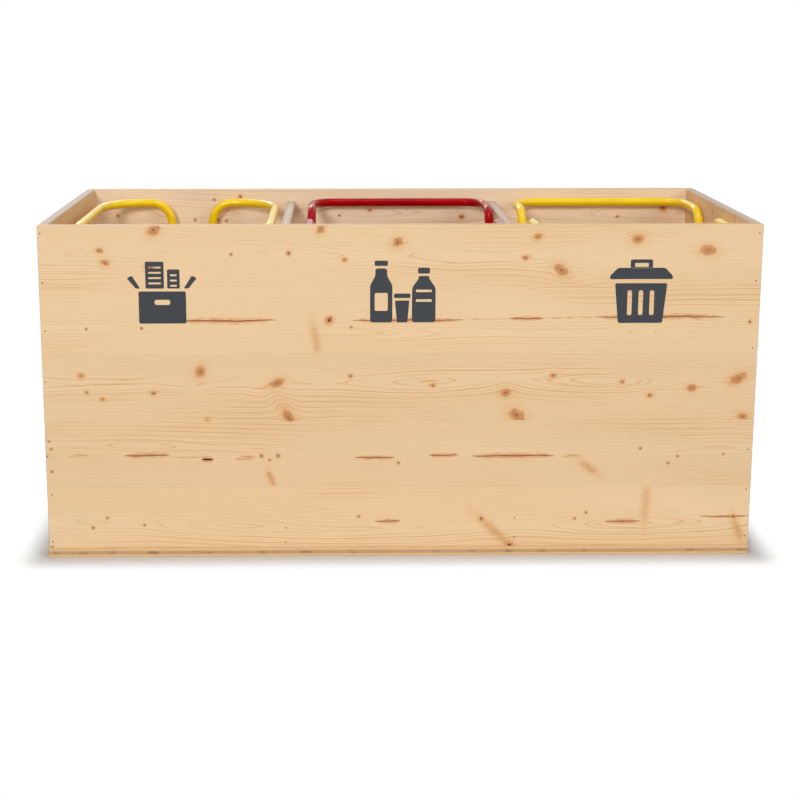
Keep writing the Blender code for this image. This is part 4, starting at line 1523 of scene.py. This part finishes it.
@dataclass(frozen=True)
class Pictograms:
    """Three plain pictograms of waste kinds, drawn on squares of side 1 and printed on the front panel.

    Their middles are in pixels as read.
    """

    finishes: Finishes
    film: float = 0.00025
    height: float = 0.190
    carton_middle: tuple[float, float] = (165.0, 290.0)
    bottles_middle: tuple[float, float] = (401.0, 289.5)
    bin_middle: tuple[float, float] = (635.5, 289.5)

    def build(self) -> None:
        """Print the carton, the bottles and the bin."""
        for name, middle, loops in (("carton_pictogram", self.carton_middle, self._carton()),
                                    ("bottles_pictogram", self.bottles_middle, self._bottles()),
                                    ("bin_pictogram", self.bin_middle, self._bin())):
            self._print(name, FRONT_FACE.spot(*middle), loops)

    @staticmethod
    def rounded(points: Sequence[tuple[float, float]], radius: float, steps: int = 5) -> Outline:
        """Round the corners of an outline.

        Args:
            points: The outline's corners.
            radius: The rounding.
            steps: How many facets each corner gets.

        Returns:
            The rounded outline.
        """
        made = []
        for before, here, after in zip([points[-1], *points], points, [*points[1:], points[0]]):
            corner = Vector(here)
            ways = [Vector(end) - corner for end in (before, after)]
            reach = min(radius, *(way.length * 0.45 for way in ways))
            start, end = (corner + way.normalized() * reach for way in ways)
            for step in range(steps + 1):
                share = step / steps
                made.append(tuple(start.lerp(corner, share).lerp(corner.lerp(end, share), share)))
        return made

    def slab(self, left: float, right: float, foot: float, top: float, radius: float) -> Outline:
        """An upright rectangle with rounded corners."""
        return self.rounded([(left, foot), (right, foot), (right, top), (left, top)], radius)

    def _carton(self) -> list[Outline]:
        """Draw an open carton with two sheets of paper standing in it.

        Returns:
            The outlines.
        """
        loops = [self.slab(-0.36, 0.36, -0.48, 0.02, 0.03), self.slab(-0.12, 0.12, -0.19, -0.11, 0.04)]
        for side in (-1, 1):
            flap = [(0.33, 0.065), (0.40, 0.065), (0.53, 0.225), (0.455, 0.265)]
            loops.append(self.rounded([(side * x, y) for x, y in flap], 0.02))
        for left, right, top, lines in ((-0.25, 0.03, 0.48, 4), (0.08, 0.27, 0.36, 3)):
            loops.append(self.slab(left, right, 0.065, top, 0.02))
            for line in range(lines):
                height = top - 0.075 - 0.082 * line
                loops.append(self.slab(left + 0.045, right - 0.045, height - 0.028, height, 0.008))
        return loops

    def _bottles(self) -> list[Outline]:
        """Draw a tall flask, a drinking bottle and a tub.

        Returns:
            The outlines.
        """
        flask = [(-0.50, -0.48), (-0.16, -0.48), (-0.16, 0.10), (-0.24, 0.24), (-0.24, 0.36), (-0.42, 0.36),
                 (-0.42, 0.24), (-0.50, 0.10)]
        bottle = [(0.14, -0.48), (0.50, -0.48), (0.50, 0.06), (0.40, 0.20), (0.40, 0.24), (0.24, 0.24),
                  (0.24, 0.20), (0.14, 0.06)]
        tub = [(-0.09, -0.48), (0.07, -0.48), (0.10, -0.14), (-0.12, -0.14)]
        return [self.rounded(flask, 0.045), self.slab(-0.43, -0.23, 0.40, 0.48, 0.02),
                self.slab(-0.43, -0.23, -0.30, -0.02, 0.03), self.rounded(bottle, 0.05),
                self.slab(0.23, 0.41, 0.28, 0.37, 0.025), self.slab(0.20, 0.44, -0.16, -0.12, 0.01),
                self.slab(0.20, 0.44, -0.01, 0.03, 0.01), self.rounded(tub, 0.02),
                self.slab(-0.135, 0.115, -0.10, -0.03, 0.02)]

    def _bin(self) -> list[Outline]:
        """Draw a bin with a lid and three slots.

        Returns:
            The outlines.
        """
        tub = [(-0.34, -0.50), (0.34, -0.50), (0.40, 0.12), (-0.40, 0.12)]
        lid = [(-0.48, 0.185), (0.48, 0.185), (0.48, 0.235), (0.36, 0.36), (-0.36, 0.36), (-0.48, 0.235)]
        loops = [self.rounded(tub, 0.03), self.rounded(lid, 0.03), self.slab(-0.17, 0.17, 0.355, 0.49, 0.03),
                 self.slab(-0.105, 0.105, 0.375, 0.435, 0.012)]
        for middle in (-0.17, 0.0, 0.17):
            loops.append(self.slab(middle - 0.035, middle + 0.035, -0.38, 0.01, 0.034))
        return loops

    def _print(self, name: str, centre: tuple[float, float], loops: Sequence[Outline]) -> None:
        """Fill the outlines and lay them on the panel as a thin film.

        Args:
            name: The piece's name.
            centre: The middle of the pictogram on the panel.
            loops: The outlines; one inside another is a hole.
        """
        curve = bpy.data.curves.new(name, "CURVE")
        curve.dimensions = "2D"
        curve.fill_mode = "BOTH"
        curve.extrude = self.film / 2
        for loop in loops:
            spline = curve.splines.new("POLY")
            spline.points.add(len(loop) - 1)
            for point, (x, y) in zip(spline.points, loop):
                point.co = (x * self.height, y * self.height, 0.0, 1.0)
            spline.use_cyclic_u = True
        drawn = bpy.data.objects.new(name + "_outline", curve)
        bpy.context.scene.collection.objects.link(drawn)
        bpy.context.view_layer.update()
        flat = bpy.data.meshes.new_from_object(drawn.evaluated_get(bpy.context.evaluated_depsgraph_get()))
        bpy.data.objects.remove(drawn, do_unlink=True)
        place = Vector((centre[0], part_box("front_panel")[0].y - self.film / 2, centre[1]))
        flat.transform(Matrix.Translation(place) @ Matrix.Rotation(math.pi / 2, 4, "X"))
        shop = MeshShop()
        shop.work.from_mesh(flat)
        shop.piece(name, "casing", [self.finishes.slate])


@dataclass(frozen=True)
class Softbox:
    """A square soft light: where it hangs, what it points at, its side and its power in watts."""

    name: str
    place: tuple[float, float, float]
    side: float
    power: float
    target: tuple[float, float, float] = (0.0, 0.0, 0.5)

    def hang(self) -> None:
        """Hang the light."""
        lamp = bpy.data.lights.new(self.name, "AREA")
        lamp.shape = "SQUARE"
        lamp.size = self.side
        lamp.energy = self.power
        hung = bpy.data.objects.new(self.name, lamp)
        hung.location = self.place
        hung.rotation_euler = (Vector(self.target) - Vector(self.place)).to_track_quat("-Z", "Y").to_euler()
        bpy.context.scene.collection.objects.link(hung)


@dataclass(frozen=True)
class Studio:
    """The pale floor, the soft lights and the camera."""

    softboxes: tuple[Softbox, ...] = (Softbox("key_softbox", (-3.6, -10.6, 5.5), 2.5, 565.0),
                                      Softbox("fill_softbox", (8.6, -8.0, 5.4), 3.6, 305.0),
                                      Softbox("top_softbox", (0.2, -0.6, 4.4), 1.4, 42.0),
                                      Softbox("back_softbox", (-2.4, 9.5, 6.5), 5.0, 270.0))
    ambient: float = 0.28
    floor_size: float = 60.0
    floor_greys: tuple[Colour, Colour] = ((0.68, 0.68, 0.68), (0.71, 0.71, 0.71))
    shadow_reach: float = 0.10
    lens: float = 60.3
    sensor: float = 36.0
    place: tuple[float, float, float] = (-0.179, -4.196, 1.611)
    yaw: float = 0.76
    pitch: float = 9.75
    shift_x: float = 0.0541
    shift_y: float = -0.200

    def build(self) -> None:
        """Set up floor, world, lights and camera."""
        self._floor()
        self._world()
        for softbox in self.softboxes:
            softbox.hang()
        self._camera()
        bpy.context.scene.view_settings.view_transform = "Standard"

    def _floor(self) -> None:
        """Lay a pale floor that keeps the shadow and fades to white away from the station."""
        work = bmesh.new()
        bmesh.ops.create_grid(work, x_segments=1, y_segments=1, size=self.floor_size / 2)
        mesh = bpy.data.meshes.new("studio_floor")
        work.to_mesh(mesh)
        work.free()
        sheet = FinishSheet("studio_floor_white")
        grain = sheet.noise(sheet.place(), 3.0, 2.0)
        colour = sheet.mix(grain, *self.floor_greys)
        mesh.materials.append(sheet.set(Base_Color=colour, Roughness=0.9, Specular_IOR_Level=0.1))
        outside = [sheet.maths("MAXIMUM", abs(part) - edge, 0.0)
                   for part, edge in zip(sheet.split(sheet.place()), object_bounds()[1][:2])]
        share = sheet.fade(sheet.length(*outside), 0.0, self.shadow_reach) * sheet.seen()
        lit = Wire(sheet, sheet.shader.outputs[0])
        blend = sheet.wire("ShaderNodeMixShader", {0: share, 1: lit, 2: sheet.wire("ShaderNodeEmission", {})})
        sheet.feed(sheet.tree.nodes["Material Output"].inputs[0], blend)
        floor = bpy.data.objects.new("studio_floor", mesh)
        bpy.context.scene.collection.objects.link(floor)
        floor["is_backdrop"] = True

    def _world(self) -> None:
        """Light the scene softly all round, and show white to the camera and in reflections."""
        world = bpy.data.worlds.new("studio_world")
        bpy.context.scene.world = world
        world.use_nodes = True
        sheet = NodeSheet(world.node_tree)
        back = world.node_tree.nodes["Background"]
        sheet.feed(back.inputs["Color"], (1.0, 1.0, 1.0))
        sheet.feed(back.inputs["Strength"], self.ambient + sheet.seen() * (1.0 - self.ambient))

    def _camera(self) -> None:
        """Stand the camera where the photograph was taken from."""
        data = bpy.data.cameras.new("photo_camera")
        data.lens = self.lens
        data.sensor_width = self.sensor
        data.shift_x = self.shift_x
        data.shift_y = self.shift_y
        camera = bpy.data.objects.new("photo_camera", data)
        camera.location = self.place
        camera.rotation_euler = (math.radians(90.0 - self.pitch), 0.0, math.radians(-self.yaw))
        bpy.context.scene.collection.objects.link(camera)
        bpy.context.scene.camera = camera


def main() -> None:
    """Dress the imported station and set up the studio."""
    logging.basicConfig(level=logging.INFO, format="%(name)s: %(message)s")
    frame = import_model()
    nodes = frame["nodes"]
    finishes = Finishes()
    Casing(nodes, finishes).build()
    for name, facing, paint in (("left_trolley", -1, Slot.YELLOW), ("middle_trolley", 1, Slot.RED),
                                ("right_trolley", 1, Slot.YELLOW)):
        Trolley(nodes, finishes, name, facing, paint).build()
    Pictograms(finishes).build()
    Studio().build()
    bpy.context.view_layer.update()


if __name__ == "__main__":
    main()
